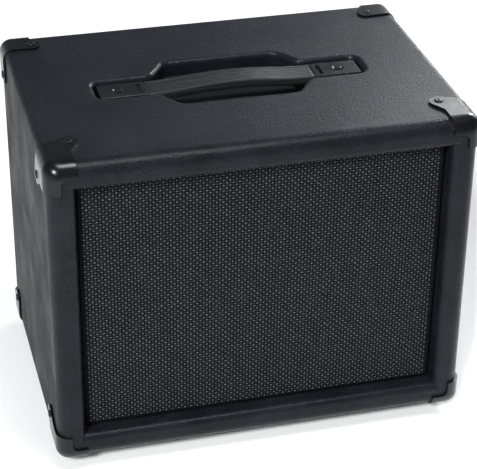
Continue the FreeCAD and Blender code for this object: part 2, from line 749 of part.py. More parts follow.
jack_z = (board_low_z + lower_top_z) / 2
jack_x = side_x - jack_from_side
plate_back_y = board_back_y + jack_plate_thickness
plate_low = (jack_x - jack_plate_width / 2, jack_z - jack_plate_height / 2)
plate_high = (jack_x + jack_plate_width / 2, jack_z + jack_plate_height / 2)
plate_points = [plate_low, (plate_high[0], plate_low[1]), plate_high, (plate_low[0], plate_high[1])]
plate = rounded_face(plate_points, [jack_plate_corner] * len(plate_points),
                     lambda u, v: Vector(u, board_back_y, v)).extrude(backwards * jack_plate_thickness)
plate_screw_spots = []
for screw_x in (plate_low[0] + plate_screw_inset, plate_high[0] - plate_screw_inset):
    for screw_z in (plate_low[1] + plate_screw_inset, plate_high[1] - plate_screw_inset):
        plate_screw_spots.append(Vector(screw_x, plate_back_y, screw_z))
plate_holes = [aim(screw_hole(plate_screw_length), spot, backwards) for spot in plate_screw_spots]
plate_bore = Part.makeCylinder(bushing_radius + bushing_gap, jack_plate_thickness,
                               Vector(jack_x, board_back_y, jack_z), backwards)
pieces["jack_plate"] = plate.cut(plate_holes + [plate_bore])
pieces["back_screws"] = Part.makeCompound(
    [aim(pan_screw(board_screw_length), spot, backwards) for spot in back_screw_spots]
    + [aim(pan_screw(plate_screw_length), spot, backwards) for spot in plate_screw_spots])
for name, low_z, high_z in (("upper_back_board", upper_low_z, board_high_z),
                            ("lower_back_board", board_low_z, lower_top_z)):
    board = rounded_block((-board_x, board_front_y, low_z), (board_x, board_back_y, high_z),
                          0, 0, back_board_edge_radius)
    pieces[name] = board.cut(back_holes)
jack_window = Part.makeCylinder(jack_hole_radius, back_board_thickness,
                                Vector(jack_x, board_front_y, jack_z), backwards)
pieces["lower_back_board"] = pieces["lower_back_board"].cut(plate_holes + [jack_window])
for name, low_x, high_x in (("left_back_cleat", -inner_x, -cleat_x), ("right_back_cleat", cleat_x, inner_x)):
    cleat = block((low_x, cleat_front_y, inner_low_z), (high_x, board_front_y, inner_high_z))
    pieces[name] = cleat.cut(back_holes)

# Jack socket behind the plate, held by its nut
jack_front_y = board_back_y - jack_body_length
bushing_back_y = plate_back_y + bushing_reach
body = block((jack_x - jack_body_width / 2, jack_front_y, jack_z - jack_body_height / 2),
             (jack_x + jack_body_width / 2, board_back_y, jack_z + jack_body_height / 2))
bushing = Part.makeCylinder(bushing_radius, bushing_back_y - board_back_y,
                            Vector(jack_x, board_back_y, jack_z), backwards)
jack_lugs = []
for lug_x in (jack_x - jack_lug_spacing / 2, jack_x + jack_lug_spacing / 2):
    jack_lugs.append(block((lug_x - jack_lug_width / 2, jack_front_y - jack_lug_length,
                            jack_z - lug_thickness / 2),
                           (lug_x + jack_lug_width / 2, jack_front_y, jack_z + lug_thickness / 2)))
jack_bore = Part.makeCylinder(jack_bore_radius, jack_bore_depth,
                              Vector(jack_x, bushing_back_y - jack_bore_depth, jack_z), backwards)
pieces["jack_socket"] = body.fuse([bushing] + jack_lugs).cut(jack_bore).removeSplitter()
nut_points = [(jack_nut_radius * math.cos(math.radians(60 * side)),
               jack_nut_radius * math.sin(math.radians(60 * side))) for side in range(6)]
nut_face = rounded_face(nut_points, [0] * len(nut_points),
                        lambda u, v: Vector(jack_x + u, plate_back_y, jack_z + v))
nut = nut_face.extrude(backwards * jack_nut_height)
pieces["jack_nut"] = nut.cut(Part.makeCylinder(bushing_radius + bushing_gap, jack_nut_height,
                                               Vector(jack_x, plate_back_y, jack_z), backwards))

# Ten-inch driver behind the baffle; radius r and depth s run from its flange's front face
flange_y = baffle_back_y + gasket_thickness
axis_point = Vector(0, flange_y, middle_z)


def on_axis(radius, depth):
    """Point of a turned profile, in the plane of the driver's axis."""
    return Vector(radius, flange_y + depth, middle_z)


def turned(profile):
    """Turn a closed profile of lines about the driver's axis."""
    spots = [on_axis(radius, depth) for radius, depth in profile]
    face = Part.Face(Part.makePolygon(spots + spots[:1]))
    return face.revolve(axis_point, backwards, 360)


def ring(inner, outer, front, back):
    """Turned ring or disc between two radii and two depths."""
    return turned([(inner, front), (outer, front), (outer, back), (inner, back)])


def sheet_profile(front_line, sheet):
    """Closed profile of a sheet whose front follows a line and whose back lies one sheet behind."""
    return front_line + [(radius, depth + sheet) for radius, depth in reversed(front_line)]


def rolled_skin(inner, outer, level, rolls, height_share, skin):
    """Corrugated ring of half rolls, the outermost bulging forward and the next one back."""
    step = (outer - inner) / rolls
    height = step * height_share
    rows = []
    for depth in (level, level + skin):
        row = []
        for roll in range(rolls):
            start = inner + roll * step
            bulge = height if (rolls - roll) % 2 == 0 else -height
            row.append(Part.Arc(on_axis(start, depth), on_axis(start + step / 2, depth + bulge),
                                on_axis(start + step, depth)).toShape())
        rows.append(row)
    sides = [Part.LineSegment(on_axis(radius, level), on_axis(radius, level + skin)).toShape()
             for radius in (inner, outer)]
    face = Part.Face(Part.Wire(Part.__sortEdges__(rows[0] + rows[1] + sides)))
    return face.revolve(axis_point, backwards, 360)


bolt_circle = driver_frame_radius - gasket_width / 2
bolt_spots = []
for number in range(driver_bolt_count):
    turn = 2 * math.pi * (number + half_step_share) / driver_bolt_count
    bolt_spots.append(Vector(bolt_circle * math.cos(turn), flange_y + basket_sheet,
                             middle_z + bolt_circle * math.sin(turn)))
bolt_holes = [aim(screw_hole(driver_bolt_length), spot, backwards) for spot in bolt_spots]
pieces["driver_bolts"] = Part.makeCompound([aim(pan_screw(driver_bolt_length), spot, backwards)
                                            for spot in bolt_spots])
pieces["baffle_board"] = baffle.cut(baffle_holes + bolt_holes)
gasket = ring(driver_frame_radius - gasket_width, driver_frame_radius, -gasket_thickness, 0)
pieces["driver_gasket"] = gasket.cut(bolt_holes)

# Basket: flange, windowed wall, spider shelf and bottom cup pressed from one sheet
flange_inner = driver_frame_radius - basket_flange_width
bend_radius = flange_inner - basket_bend_run
wall_run = bend_radius - basket_shelf_radius
shelf_inner = basket_shelf_radius - basket_shelf_width
basket_cup_radius = shelf_inner - basket_cup_inset
cup_depth = basket_depth - basket_sheet
basket = turned(sheet_profile([
    (driver_frame_radius, 0), (flange_inner, 0), (bend_radius, basket_bend_drop),
    (basket_shelf_radius, basket_shelf_depth), (shelf_inner, basket_shelf_depth),
    (basket_cup_radius, cup_depth), (basket_bore_radius, cup_depth)], basket_sheet))


def sector(inner, outer, middle_degrees, width_degrees):
    """Sector prism through the basket's wall."""
    angles = [math.radians(middle_degrees + width_degrees * side / 2) for side in (-1, 0, 1)]
    rows = [[Vector(radius * math.cos(angle), flange_y, middle_z + radius * math.sin(angle))
             for angle in angles] for radius in (inner, outer)]
    wire = Part.Wire([Part.Arc(*rows[0]).toShape(), Part.LineSegment(rows[0][2], rows[1][2]).toShape(),
                      Part.Arc(*reversed(rows[1])).toShape(),
                      Part.LineSegment(rows[1][0], rows[0][0]).toShape()])
    return Part.Face(wire).extrude(backwards * basket_shelf_depth)


window_inner = basket_shelf_radius + wall_run * window_shelf_share
window_outer = bend_radius - wall_run * window_bend_share
window_step = 360 / basket_window_count
windows = []
for number in range(basket_window_count):
    windows.append(sector(window_inner, window_outer, window_step * (number + half_step_share),
                          basket_window_degrees))
basket = basket.cut(windows)
shelf_y = flange_y + basket_shelf_depth
shelf_back_y = shelf_y + basket_sheet
tab = block((shelf_inner + basket_shelf_width / 2, shelf_y, middle_z - tab_width / 2),
            (basket_shelf_radius + tab_reach, shelf_back_y, middle_z + tab_width / 2))
pieces["basket"] = basket.fuse(tab).cut(bolt_holes).removeSplitter()

# Moving cone with its dust cap, former and winding, and the skins that carry it
former_outer = coil_radius + former_wall
cone_edge_radius = flange_inner - surround_width
neck_radius = former_outer + glue_gap
cone_slope = (cone_neck_depth - cone_edge_depth) / (cone_edge_radius - neck_radius)
pieces["speaker_cone"] = turned([
    (neck_radius, cone_neck_depth), (cone_edge_radius, cone_edge_depth),
    (cone_edge_radius, cone_edge_depth + cone_paper),
    (neck_radius + cone_paper, cone_neck_depth + cone_paper),
    (neck_radius + cone_paper, cone_neck_depth + cone_neck_length),
    (neck_radius, cone_neck_depth + cone_neck_length)])
cap_base_depth = cone_neck_depth - (dust_cap_radius - neck_radius) * cone_slope - glue_gap
cap_dome = (dust_cap_radius ** 2 + dust_cap_height ** 2) / (2 * dust_cap_height)
dome_half = math.asin(dust_cap_radius / cap_dome) / 2
cap_rows = []
for lift in (0, dust_cap_paper):
    rim = on_axis(dust_cap_radius, cap_base_depth - lift)
    side = on_axis(cap_dome * math.sin(dome_half),
                   cap_base_depth - dust_cap_height + cap_dome * (1 - math.cos(dome_half)) - lift)
    crown = on_axis(0, cap_base_depth - dust_cap_height - lift)
    cap_rows.append((rim, side, crown))
cap_wire = Part.Wire(Part.__sortEdges__(
    [Part.Arc(*row).toShape() for row in cap_rows]
    + [Part.LineSegment(cap_rows[0][end], cap_rows[1][end]).toShape() for end in (0, 2)]))
pieces["dust_cap"] = Part.Face(cap_wire).revolve(axis_point, backwards, 360)
winding_middle = basket_depth + top_plate_thickness / 2
winding_front = winding_middle - winding_length / 2
winding_back = winding_middle + winding_length / 2
winding_outer = former_outer + glue_gap + winding_wall
pieces["coil_former"] = ring(coil_radius, former_outer, cone_neck_depth - cone_paper, winding_back + glue_gap)
pieces["coil_winding"] = ring(former_outer + glue_gap, winding_outer, winding_front, winding_back)

skin_inner = cone_edge_radius + surround_gap
surround_level = -surround_skin
roll_ring = rolled_skin(skin_inner, flange_inner, surround_level, surround_rolls, surround_roll_share,
                        surround_skin)
rim_ring = ring(flange_inner, driver_frame_radius - gasket_width - glue_gap, surround_level, 0)
pieces["cone_surround"] = roll_ring.fuse(rim_ring).removeSplitter()
spider_inner = neck_radius + cone_paper + surround_gap
spider_outer = shelf_inner + spider_rim
spider_level = basket_shelf_depth - spider_skin
spider_rolls_ring = rolled_skin(spider_inner, shelf_inner, spider_level, spider_rolls, spider_roll_share,
                                spider_skin)
spider_rim_ring = ring(shelf_inner, spider_outer, spider_level, basket_shelf_depth)
pieces["spider"] = spider_rolls_ring.fuse(spider_rim_ring).removeSplitter()

# Motor: front plate, ferrite ring, and back plate with the pole
plate_bore_radius = winding_outer + coil_gap
top_plate_back = basket_depth + top_plate_thickness
magnet_back = top_plate_back + magnet_thickness
motor_back = magnet_back + back_plate_thickness
pole_radius = coil_radius - coil_gap
pieces["top_plate"] = ring(plate_bore_radius, top_plate_radius, basket_depth, top_plate_back)
pieces["magnet_ring"] = ring(magnet_bore_radius, magnet_radius, top_plate_back, magnet_back)
pieces["back_plate"] = turned([
    (pole_vent_radius, basket_depth), (pole_radius, basket_depth), (pole_radius, magnet_back),
    (top_plate_radius, magnet_back), (top_plate_radius, motor_back), (pole_vent_radius, motor_back)])

# Terminal strip on the basket's tab, its two lugs, and the flexible leads to the cone
strip_outer_x = basket_shelf_radius + tab_reach
strip_back_y = shelf_back_y + strip_thickness
pieces["terminal_strip"] = block(
    (strip_outer_x - strip_length, shelf_back_y, middle_z - strip_width / 2),
    (strip_outer_x, strip_back_y, middle_z + strip_width / 2))
lug_x = strip_outer_x - lug_width
lug_lines = (middle_z - lug_spacing / 2, middle_z + lug_spacing / 2)
pieces["terminal_lugs"] = Part.makeCompound([
    block((lug_x - lug_width / 2, strip_back_y, lug_z - lug_thickness / 2),
          (lug_x + lug_width / 2, strip_back_y + lug_height, lug_z + lug_thickness / 2))
    for lug_z in lug_lines])


def tube(spots, radius, name):
    """Round cord along straight runs joined by arcs as large as the runs allow."""
    edges = []
    bends = []
    start = spots[0]
    for before, spot, after in zip(spots, spots[1:], spots[2:]):
        back = before - spot
        ahead = after - spot
        reach = bend_share * min(back.Length, ahead.Length)
        half_turn = (math.pi - back.getAngle(ahead)) / 2
        bend = reach / math.tan(half_turn)
        bends.append(round(bend, 1))
        back.normalize()
        ahead.normalize()
        first = spot + back * reach
        last = spot + ahead * reach
        inward = (back + ahead).normalize()
        crown = spot + inward * (bend / math.cos(half_turn) - bend)
        edges += [Part.LineSegment(start, first).toShape(), Part.Arc(first, crown, last).toShape()]
        start = last
    edges.append(Part.LineSegment(start, spots[-1]).toShape())
    path = Part.Wire(edges)
    section = Part.Wire(Part.makeCircle(radius, spots[0], spots[1] - spots[0]))
    cord = path.makePipeShell([section], True, False)
    expected = math.pi * radius ** 2 * path.Length
    print(name, "bend radii", bends, "length", round(path.Length), "volume share",
          round(cord.Volume / expected, 3))
    return cord


joint_radius = math.hypot(tinsel_joint_across, tinsel_joint_height)
joint_depth = cone_neck_depth + cone_paper + tinsel_joint_gap - (joint_radius - neck_radius) * cone_slope
tinsel = []
for side in (1, -1):
    route = []
    for across, height, depth in strip_tinsel_route:
        route.append(Vector(strip_outer_x + across, strip_back_y + depth, middle_z + side * height))
    for across, height, depth in cone_tinsel_route:
        route.append(Vector(tinsel_joint_across + across, flange_y + joint_depth + depth,
                            middle_z + side * (tinsel_joint_height + height)))
    tinsel.append(tube(route, tinsel_radius, "tinsel lead"))
pieces["tinsel_leads"] = Part.makeCompound(tinsel)

# Two speaker leads from the jack's lugs, through a clip on the right panel, to the strip's lugs
clip_y = clip_behind_middle
clip_z = inner_low_z + clip_above_floor
lead_clip_x = inner_x - clip_height / 2
lead_holes = []
for name, side in (("black_lead", -1), ("red_lead", 1)):
    from_x = jack_x + side * jack_lug_spacing / 2
    from_y = jack_front_y - jack_lug_length - lead_end_gap
    clip_row_z = clip_z + side * clip_spacing / 2
    to_z = middle_z + side * lug_spacing / 2
    to_y = strip_back_y + lug_height + lead_end_gap
    jack_end = Vector(from_x, from_y, jack_z)
    jack_middle = Vector(jack_x, from_y, jack_z + side * clip_spacing / 2)
    clip_middle = Vector(lead_clip_x, clip_y, clip_row_z)
    lug_end = Vector(lug_x, to_y, to_z)
    route = [jack_end] + [jack_end + Vector(*step) for step in from_lug_route]
    route += [jack_middle + Vector(*step) for step in from_jack_route]
    route += [clip_middle + Vector(*step) for step in to_clip_route]
    route += [clip_middle + backwards * step for step in (clip_straight, -clip_straight)]
    route += [clip_middle + Vector(*step) for step in from_clip_route]
    route += [lug_end + Vector(*step) for step in to_lug_route]
    route += [lug_end + backwards * lug_straight, lug_end]
    pieces[name] = tube(route, lead_radius, name)
    lead_holes.append(Part.makeCylinder(lead_radius + clip_hole_gap, clip_length + 2 * overrun,
                                        Vector(lead_clip_x, clip_y - clip_length / 2 - overrun, clip_row_z),
                                        backwards))
clip = block((inner_x - clip_height, clip_y - clip_length / 2, clip_z - clip_width / 2),
             (inner_x, clip_y + clip_length / 2, clip_z + clip_width / 2))
pieces["lead_clip"] = clip.cut(lead_holes)

os.makedirs("parts", exist_ok=True)
for name, shape in pieces.items():
    shape.exportStep(os.path.join("parts", f"{name}.step"))
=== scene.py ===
import math

import bmesh
import bpy
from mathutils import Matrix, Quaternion, Vector


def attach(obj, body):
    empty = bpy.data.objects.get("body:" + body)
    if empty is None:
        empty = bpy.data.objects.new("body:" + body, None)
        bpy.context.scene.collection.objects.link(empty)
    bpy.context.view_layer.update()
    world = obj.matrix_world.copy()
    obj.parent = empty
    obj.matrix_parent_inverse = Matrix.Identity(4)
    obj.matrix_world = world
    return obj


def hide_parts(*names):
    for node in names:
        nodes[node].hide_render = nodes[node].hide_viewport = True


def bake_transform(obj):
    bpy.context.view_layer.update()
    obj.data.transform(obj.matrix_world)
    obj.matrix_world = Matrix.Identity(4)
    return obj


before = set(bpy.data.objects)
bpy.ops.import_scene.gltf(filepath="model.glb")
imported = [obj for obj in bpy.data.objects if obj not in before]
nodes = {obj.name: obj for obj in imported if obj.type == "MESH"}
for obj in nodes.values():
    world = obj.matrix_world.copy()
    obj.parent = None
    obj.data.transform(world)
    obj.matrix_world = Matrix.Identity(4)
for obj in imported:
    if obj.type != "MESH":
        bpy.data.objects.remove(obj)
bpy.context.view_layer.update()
scene = bpy.context.scene


# Product table: a pale floor under the cabinet, soft lamps above, behind and to the left of it,
# and the camera standing a little to its left and above it. None of this belongs to the cabinet.
def look_from(spot, target, roll_degrees=0.0):
    """Turn that looks from a spot to a target, rolled about the line of sight."""
    along = Vector(target) - Vector(spot)
    return along.to_track_quat("-Z", "Y") @ Quaternion((0, 0, 1), math.radians(roll_degrees))


film_width, focal_pixels, picture_width = 36.0, 1718.0, 477
turn, rise, camera_roll = math.radians(-15.09), math.radians(30.72), 0.74
aim_point, distance = Vector((-0.0297, -0.145, 0.2500)), 1.6224
camera = bpy.data.objects.new("table_camera", bpy.data.cameras.new("table_camera"))
camera.data.sensor_width = film_width
camera.data.lens = film_width * focal_pixels / picture_width
camera.data.clip_end = 50.0
camera_back = Vector((math.sin(turn) * math.cos(rise), -math.cos(turn) * math.cos(rise),
                      math.sin(rise)))
camera.location = aim_point + camera_back * distance
camera.rotation_mode = "QUATERNION"
camera.rotation_quaternion = look_from(camera.location, aim_point, camera_roll)
scene.collection.objects.link(camera)
scene.camera = camera
scene.view_settings.view_transform = "Standard"


def aimed_light(name, kind, spot, target, strength):
    """Light that stands at a spot and is aimed at a point."""
    holder = bpy.data.objects.new(name, bpy.data.lights.new(name, kind))
    holder.data.energy = strength
    holder.location = spot
    holder.rotation_mode = "QUATERNION"
    holder.rotation_quaternion = look_from(spot, target)
    scene.collection.objects.link(holder)
    return holder


cool_white, clear_white, warm_white = (0.95, 0.98, 1.0), (0.97, 0.99, 1.0), (1.0, 1.0, 0.97)
soft_lamps = {}
for lamp_name, lamp_spot, lamp_target, lamp_side, lamp_watts, lamp_tint in (
        ("back_lamp", (0.95, 1.47, 1.27), (0.20, -0.14, 0.345), 0.40, 3.4, cool_white),
        ("corner_lamp", (1.32, 1.245, 1.25), (0.24, -0.08, 0.345), 0.40, 1.35, cool_white),
        ("rear_lamp", (1.90, 1.10, 1.15), (0.1, 0.05, 0.2), 0.80, 12.0, cool_white),
        ("top_lamp", (0.16, -0.42, 2.30), (-0.05, -0.1, 0.33), 0.60, 22.0, clear_white),
        ("left_lamp", (-0.62, -0.66, 0.42), (-0.19, -0.14, 0.17), 0.40, 2.2, warm_white)):
    soft_lamp = aimed_light(lamp_name, "AREA", lamp_spot, lamp_target, lamp_watts)
    soft_lamp.data.shape = "RECTANGLE"
    soft_lamp.data.size, soft_lamp.data.size_y = lamp_side, lamp_side
    soft_lamp.data.color = lamp_tint
    soft_lamps[lamp_name] = soft_lamp
soft_lamps["corner_lamp"].data.spread = math.radians(25)
soft_lamps["left_lamp"].visible_glossy = False
key_light = aimed_light("key_light", "SUN", spot=(-0.45, -0.62, 0.64), target=(0.0, 0.0, 0.0),
                        strength=3.3)
key_light.data.angle = math.radians(12)


def axes_of(tree, place):
    """The X, Y and Z of a place."""
    split = tree.nodes.new("ShaderNodeSeparateXYZ")
    tree.links.new(place, split.inputs[0])
    return split.outputs


def ramp_over(tree, factor, stops):
    """Colour that runs through (position, colour) stops over a factor."""
    ramp = tree.nodes.new("ShaderNodeValToRGB")
    while len(ramp.color_ramp.elements) < len(stops):
        ramp.color_ramp.elements.new(0.5)
    for element, (position, colour) in zip(ramp.color_ramp.elements, stops):
        element.position = position
        element.color = (*colour, 1.0)
    tree.links.new(factor, ramp.inputs["Fac"])
    return ramp.outputs["Color"]


scene.world = bpy.data.worlds.new("studio_room")
scene.world.use_nodes = True
room = scene.world.node_tree
room_height = axes_of(room, room.nodes.new("ShaderNodeTexCoord").outputs["Generated"])["Z"]
room_shade = ramp_over(room, room_height,
                       [(0.0, (0.76, 0.77, 0.78)), (0.05, (0.62, 0.65, 0.68)),
                        (0.22, (0.15, 0.165, 0.19)), (1.0, (0.12, 0.13, 0.15))])
room.links.new(room_shade, room.nodes["Background"].inputs["Color"])


def mesh_piece(name, points, faces):
    """Mesh object of its own, standing in the scene."""
    mesh = bpy.data.meshes.new(name)
    mesh.from_pydata(points, [], faces)
    piece = bpy.data.objects.new(name, mesh)
    scene.collection.objects.link(piece)
    return piece


def finish_for(name, colour, roughness, specular=0.5, metallic=0.0):
    """New material with one Principled shader; returns it with its tree and that shader."""
    material = bpy.data.materials.new(name)
    material.use_nodes = True
    tree = material.node_tree
    shader = tree.nodes["Principled BSDF"]
    shader.inputs["Base Color"].default_value = (*colour, 1.0)
    shader.inputs["Roughness"].default_value = roughness
    shader.inputs["Specular IOR Level"].default_value = specular
    shader.inputs["Metallic"].default_value = metallic
    material.diffuse_color = (*colour, 1.0)
    return material, tree, shader


floor_reach = 30.0
floor_corners = [(across * floor_reach, along * floor_reach, 0.0)
                 for across, along in ((-1, -1), (1, -1), (1, 1), (-1, 1))]
table_floor = mesh_piece("table_floor", floor_corners, [(0, 1, 2, 3)])
floor_paint = finish_for("pale_floor", (0.95, 0.95, 0.95), roughness=0.9, specular=0.0)[0]
table_floor.data.materials.append(floor_paint)


# Plywood box: four birch plywood panels glued at the corners, with a wooden frame behind the
# front lip and two screwed cleats at the back. Bare wood shows only through the open back.
def shader_group(name, sizes, outputs):
    """Empty shader group with a Vector and named sizes going in and named values coming out."""
    group = bpy.data.node_groups.new(name, "ShaderNodeTree")
    for label, value in {"Vector": (0, 0, 0), **sizes}.items():
        kind = "NodeSocketVector" if isinstance(value, tuple) else "NodeSocketFloat"
        socket = group.interface.new_socket(label, in_out="INPUT", socket_type=kind)
        socket.default_value = value
    for label in outputs:
        group.interface.new_socket(label, in_out="OUTPUT", socket_type="NodeSocketFloat")
    start, end = group.nodes.new("NodeGroupInput"), group.nodes.new("NodeGroupOutput")
    return group, start.outputs, end.inputs


def feed(tree, socket, value):
    """Set a socket to a plain number, or link another socket to it."""
    if isinstance(value, (int, float)):
        socket.default_value = value
    else:
        tree.links.new(value, socket)


def add_math(tree, operation, first, second=0.0):
    """Math node fed by sockets or plain numbers; returns its output."""
    maths = tree.nodes.new("ShaderNodeMath")
    maths.operation = operation
    feed(tree, maths.inputs[0], first)
    feed(tree, maths.inputs[1], second)
    return maths.outputs[0]


def add_noise(tree, place, scale, detail=2.0, roughness=0.5, distortion=0.0):
    """Noise over a place; returns its value."""
    noise = tree.nodes.new("ShaderNodeTexNoise")
    tree.links.new(place, noise.inputs["Vector"])
    feed(tree, noise.inputs["Scale"], scale)
    feed(tree, noise.inputs["Detail"], detail)
    feed(tree, noise.inputs["Roughness"], roughness)
    feed(tree, noise.inputs["Distortion"], distortion)
    return noise.outputs["Fac"]


def place_on(tree):
    """Place on the piece itself."""
    return tree.nodes.new("ShaderNodeTexCoord").outputs["Object"]


def lay_group(tree, group, sizes):
    """Shader group laid on the piece with sizes of its own; returns what it puts out."""
    laid = tree.nodes.new("ShaderNodeGroup")
    laid.node_tree = group
    tree.links.new(place_on(tree), laid.inputs["Vector"])
    for label, value in sizes.items():
        laid.inputs[label].default_value = value
    return laid.outputs


def add_tone(tree, shader, factor, stops):
    """Base colour that runs through (position, colour) stops over a factor."""
    tree.links.new(ramp_over(tree, factor, stops), shader.inputs["Base Color"])


def add_bump(tree, shader, height, strength, depth):
    """Bump from a height, feeding the shader's normal."""
    bump = tree.nodes.new("ShaderNodeBump")
    bump.inputs["Strength"].default_value = strength
    bump.inputs["Distance"].default_value = depth
    tree.links.new(height, bump.inputs["Height"])
    tree.links.new(bump.outputs["Normal"], shader.inputs["Normal"])


along_x, along_z = (6.0, 140.0, 140.0), (140.0, 140.0, 6.0)
wood_grain, grain_in, grain_out = shader_group("wood_grain", {"Along": along_x}, ("Streak", "Figure"))
stretch = wood_grain.nodes.new("ShaderNodeVectorMath")
stretch.operation = "MULTIPLY"
wood_grain.links.new(grain_in["Vector"], stretch.inputs[0])
wood_grain.links.new(grain_in["Along"], stretch.inputs[1])
grain_streak = add_noise(wood_grain, stretch.outputs[0], scale=1.0, detail=5.0)
grain_figure = add_noise(wood_grain, stretch.outputs[0], scale=0.16, distortion=0.8)
wood_grain.links.new(grain_streak, grain_out["Streak"])
wood_grain.links.new(grain_figure, grain_out["Figure"])


def wood_finish(name, pale, dark, along, ply_axis=None):
    """Wood with grain along one axis and, on plywood, plies stacked along another."""
    figure_gain, ply_thickness, ply_gain, ply_figure = 2.4, 0.0015, 260.0, 0.75
    material, tree, shader = finish_for(name, pale, roughness=0.62, specular=0.3)
    grain = lay_group(tree, wood_grain, {"Along": along})
    tone = add_math(tree, "MULTIPLY", grain["Streak"], grain["Figure"])
    tone = add_math(tree, "MULTIPLY", tone, figure_gain)
    if ply_axis is not None:
        plies = add_math(tree, "PINGPONG", axes_of(tree, place_on(tree))[ply_axis], ply_thickness)
        plies = add_math(tree, "MULTIPLY", plies, ply_gain)
        tone = add_math(tree, "ADD", add_math(tree, "MULTIPLY", tone, ply_figure), plies)
    add_tone(tree, shader, tone, [(0.15, dark), (0.85, pale)])
    add_bump(tree, shader, grain["Streak"], strength=0.25, depth=0.0003)
    return material


def dress(material, slot_name, *names):
    """Show CAD nodes in a material. The slot name is not used."""
    for name in names:
        nodes[name].data.materials.clear()
        nodes[name].data.materials.append(material)


birch, birch_dark = (0.62, 0.46, 0.29), (0.42, 0.28, 0.15)
flat_ply = wood_finish("birch_ply_level", birch, birch_dark, along_x, ply_axis="Z")
upright_ply = wood_finish("birch_ply_upright", birch, birch_dark, along_z, ply_axis="X")
pine = wood_finish("pine_strip", (0.66, 0.48, 0.28), (0.45, 0.29, 0.14), (150.0, 150.0, 8.0))
dress(flat_ply, "plywood", "top_panel", "bottom_panel")
dress(upright_ply, "plywood", "left_panel", "right_panel", "front_frame")
dress(pine, "plywood", "left_back_cleat", "right_back_cleat")


# Black boards: the baffle behind the grille, the grille's own frame, and the bearer and floor
# of the handle pocket, all cut from board and brushed with thin black stain.
black_stain = wood_finish("black_stained_board", (0.024, 0.024, 0.025), (0.010, 0.010, 0.011),
                          (7.0, 120.0, 120.0))
dress(black_stain, "black_board", "baffle_board", "grille_frame", "handle_bearer", "pocket_floor")


# Covering: black vinyl with a fine pebble grain, glued over the box, the back boards and down
# into the handle pocket. It is pulled smoother round the front lip and in the pocket, and rubbed
# duller on the two sides.
pebble_grain, pebble_in, pebble_out = shader_group(
    "pebble_grain", {"Pebbles Per Metre": 720.0}, ("Height", "Fleck"))
blur_per_pebble, ripple_share = 0.8, 0.4
pebble = pebble_grain.nodes.new("ShaderNodeTexVoronoi")
pebble.feature = "SMOOTH_F1"
pebble.inputs["Smoothness"].default_value = 0.55
pebble_grain.links.new(pebble_in["Vector"], pebble.inputs["Vector"])
pebble_grain.links.new(pebble_in["Pebbles Per Metre"], pebble.inputs["Scale"])
blur_scale = add_math(pebble_grain, "MULTIPLY", pebble_in["Pebbles Per Metre"], blur_per_pebble)
pebble_blur = add_noise(pebble_grain, pebble_in["Vector"], blur_scale, detail=3.0)
pebble_ripple = add_noise(pebble_grain, pebble_in["Vector"], scale=90.0, detail=1.0)
pebble_swell = add_math(pebble_grain, "SUBTRACT", 1.0, pebble.outputs["Distance"])
pebble_swell = add_math(pebble_grain, "ADD", pebble_swell,
                        add_math(pebble_grain, "MULTIPLY", pebble_ripple, ripple_share))
pebble_swell = add_math(pebble_grain, "ADD", pebble_swell, pebble_blur)
pebble_grain.links.new(pebble_swell, pebble_out["Height"])
pebble_grain.links.new(add_noise(pebble_grain, pebble_in["Vector"], scale=22.0, detail=3.0),
                       pebble_out["Fleck"])


def fade_in(tree, value, from_level, to_level):
    """Value that runs from 0 to 1 between two levels of another, and stays there."""
    fade = tree.nodes.new("ShaderNodeMapRange")
    fade.inputs["From Min"].default_value = from_level
    fade.inputs["From Max"].default_value = to_level
    tree.links.new(value, fade.inputs["Value"])
    return fade.outputs["Result"]


# Each pair says where the vinyl starts to change and where it has changed altogether.
lip_turn, rubbed_side = (-0.112, -0.133), (0.2045, 0.2088)
pocket_end, pocket_side, pocket_mouth = (0.144, 0.142), (0.054, 0.052), (0.3419, 0.3408)
pocket_middle_y = 0.005
pulled_smooth, pull_in, pull_out = shader_group("pulled_smooth", {}, ("Pull", "Rub"))
pull_axes = axes_of(pulled_smooth, pull_in["Vector"])
off_middle_x = add_math(pulled_smooth, "ABSOLUTE", pull_axes["X"])
off_middle_y = add_math(pulled_smooth, "SUBTRACT", pull_axes["Y"], pocket_middle_y)
off_middle_y = add_math(pulled_smooth, "ABSOLUTE", off_middle_y)
pocket_pull = add_math(pulled_smooth, "MULTIPLY", fade_in(pulled_smooth, off_middle_x, *pocket_end),
                       fade_in(pulled_smooth, off_middle_y, *pocket_side))
pocket_pull = add_math(pulled_smooth, "MULTIPLY", pocket_pull,
                       fade_in(pulled_smooth, pull_axes["Z"], *pocket_mouth))
lip_pull = fade_in(pulled_smooth, pull_axes["Y"], *lip_turn)
pulled_smooth.links.new(add_math(pulled_smooth, "MAXIMUM", lip_pull, pocket_pull), pull_out["Pull"])
pulled_smooth.links.new(fade_in(pulled_smooth, off_middle_x, *rubbed_side), pull_out["Rub"])

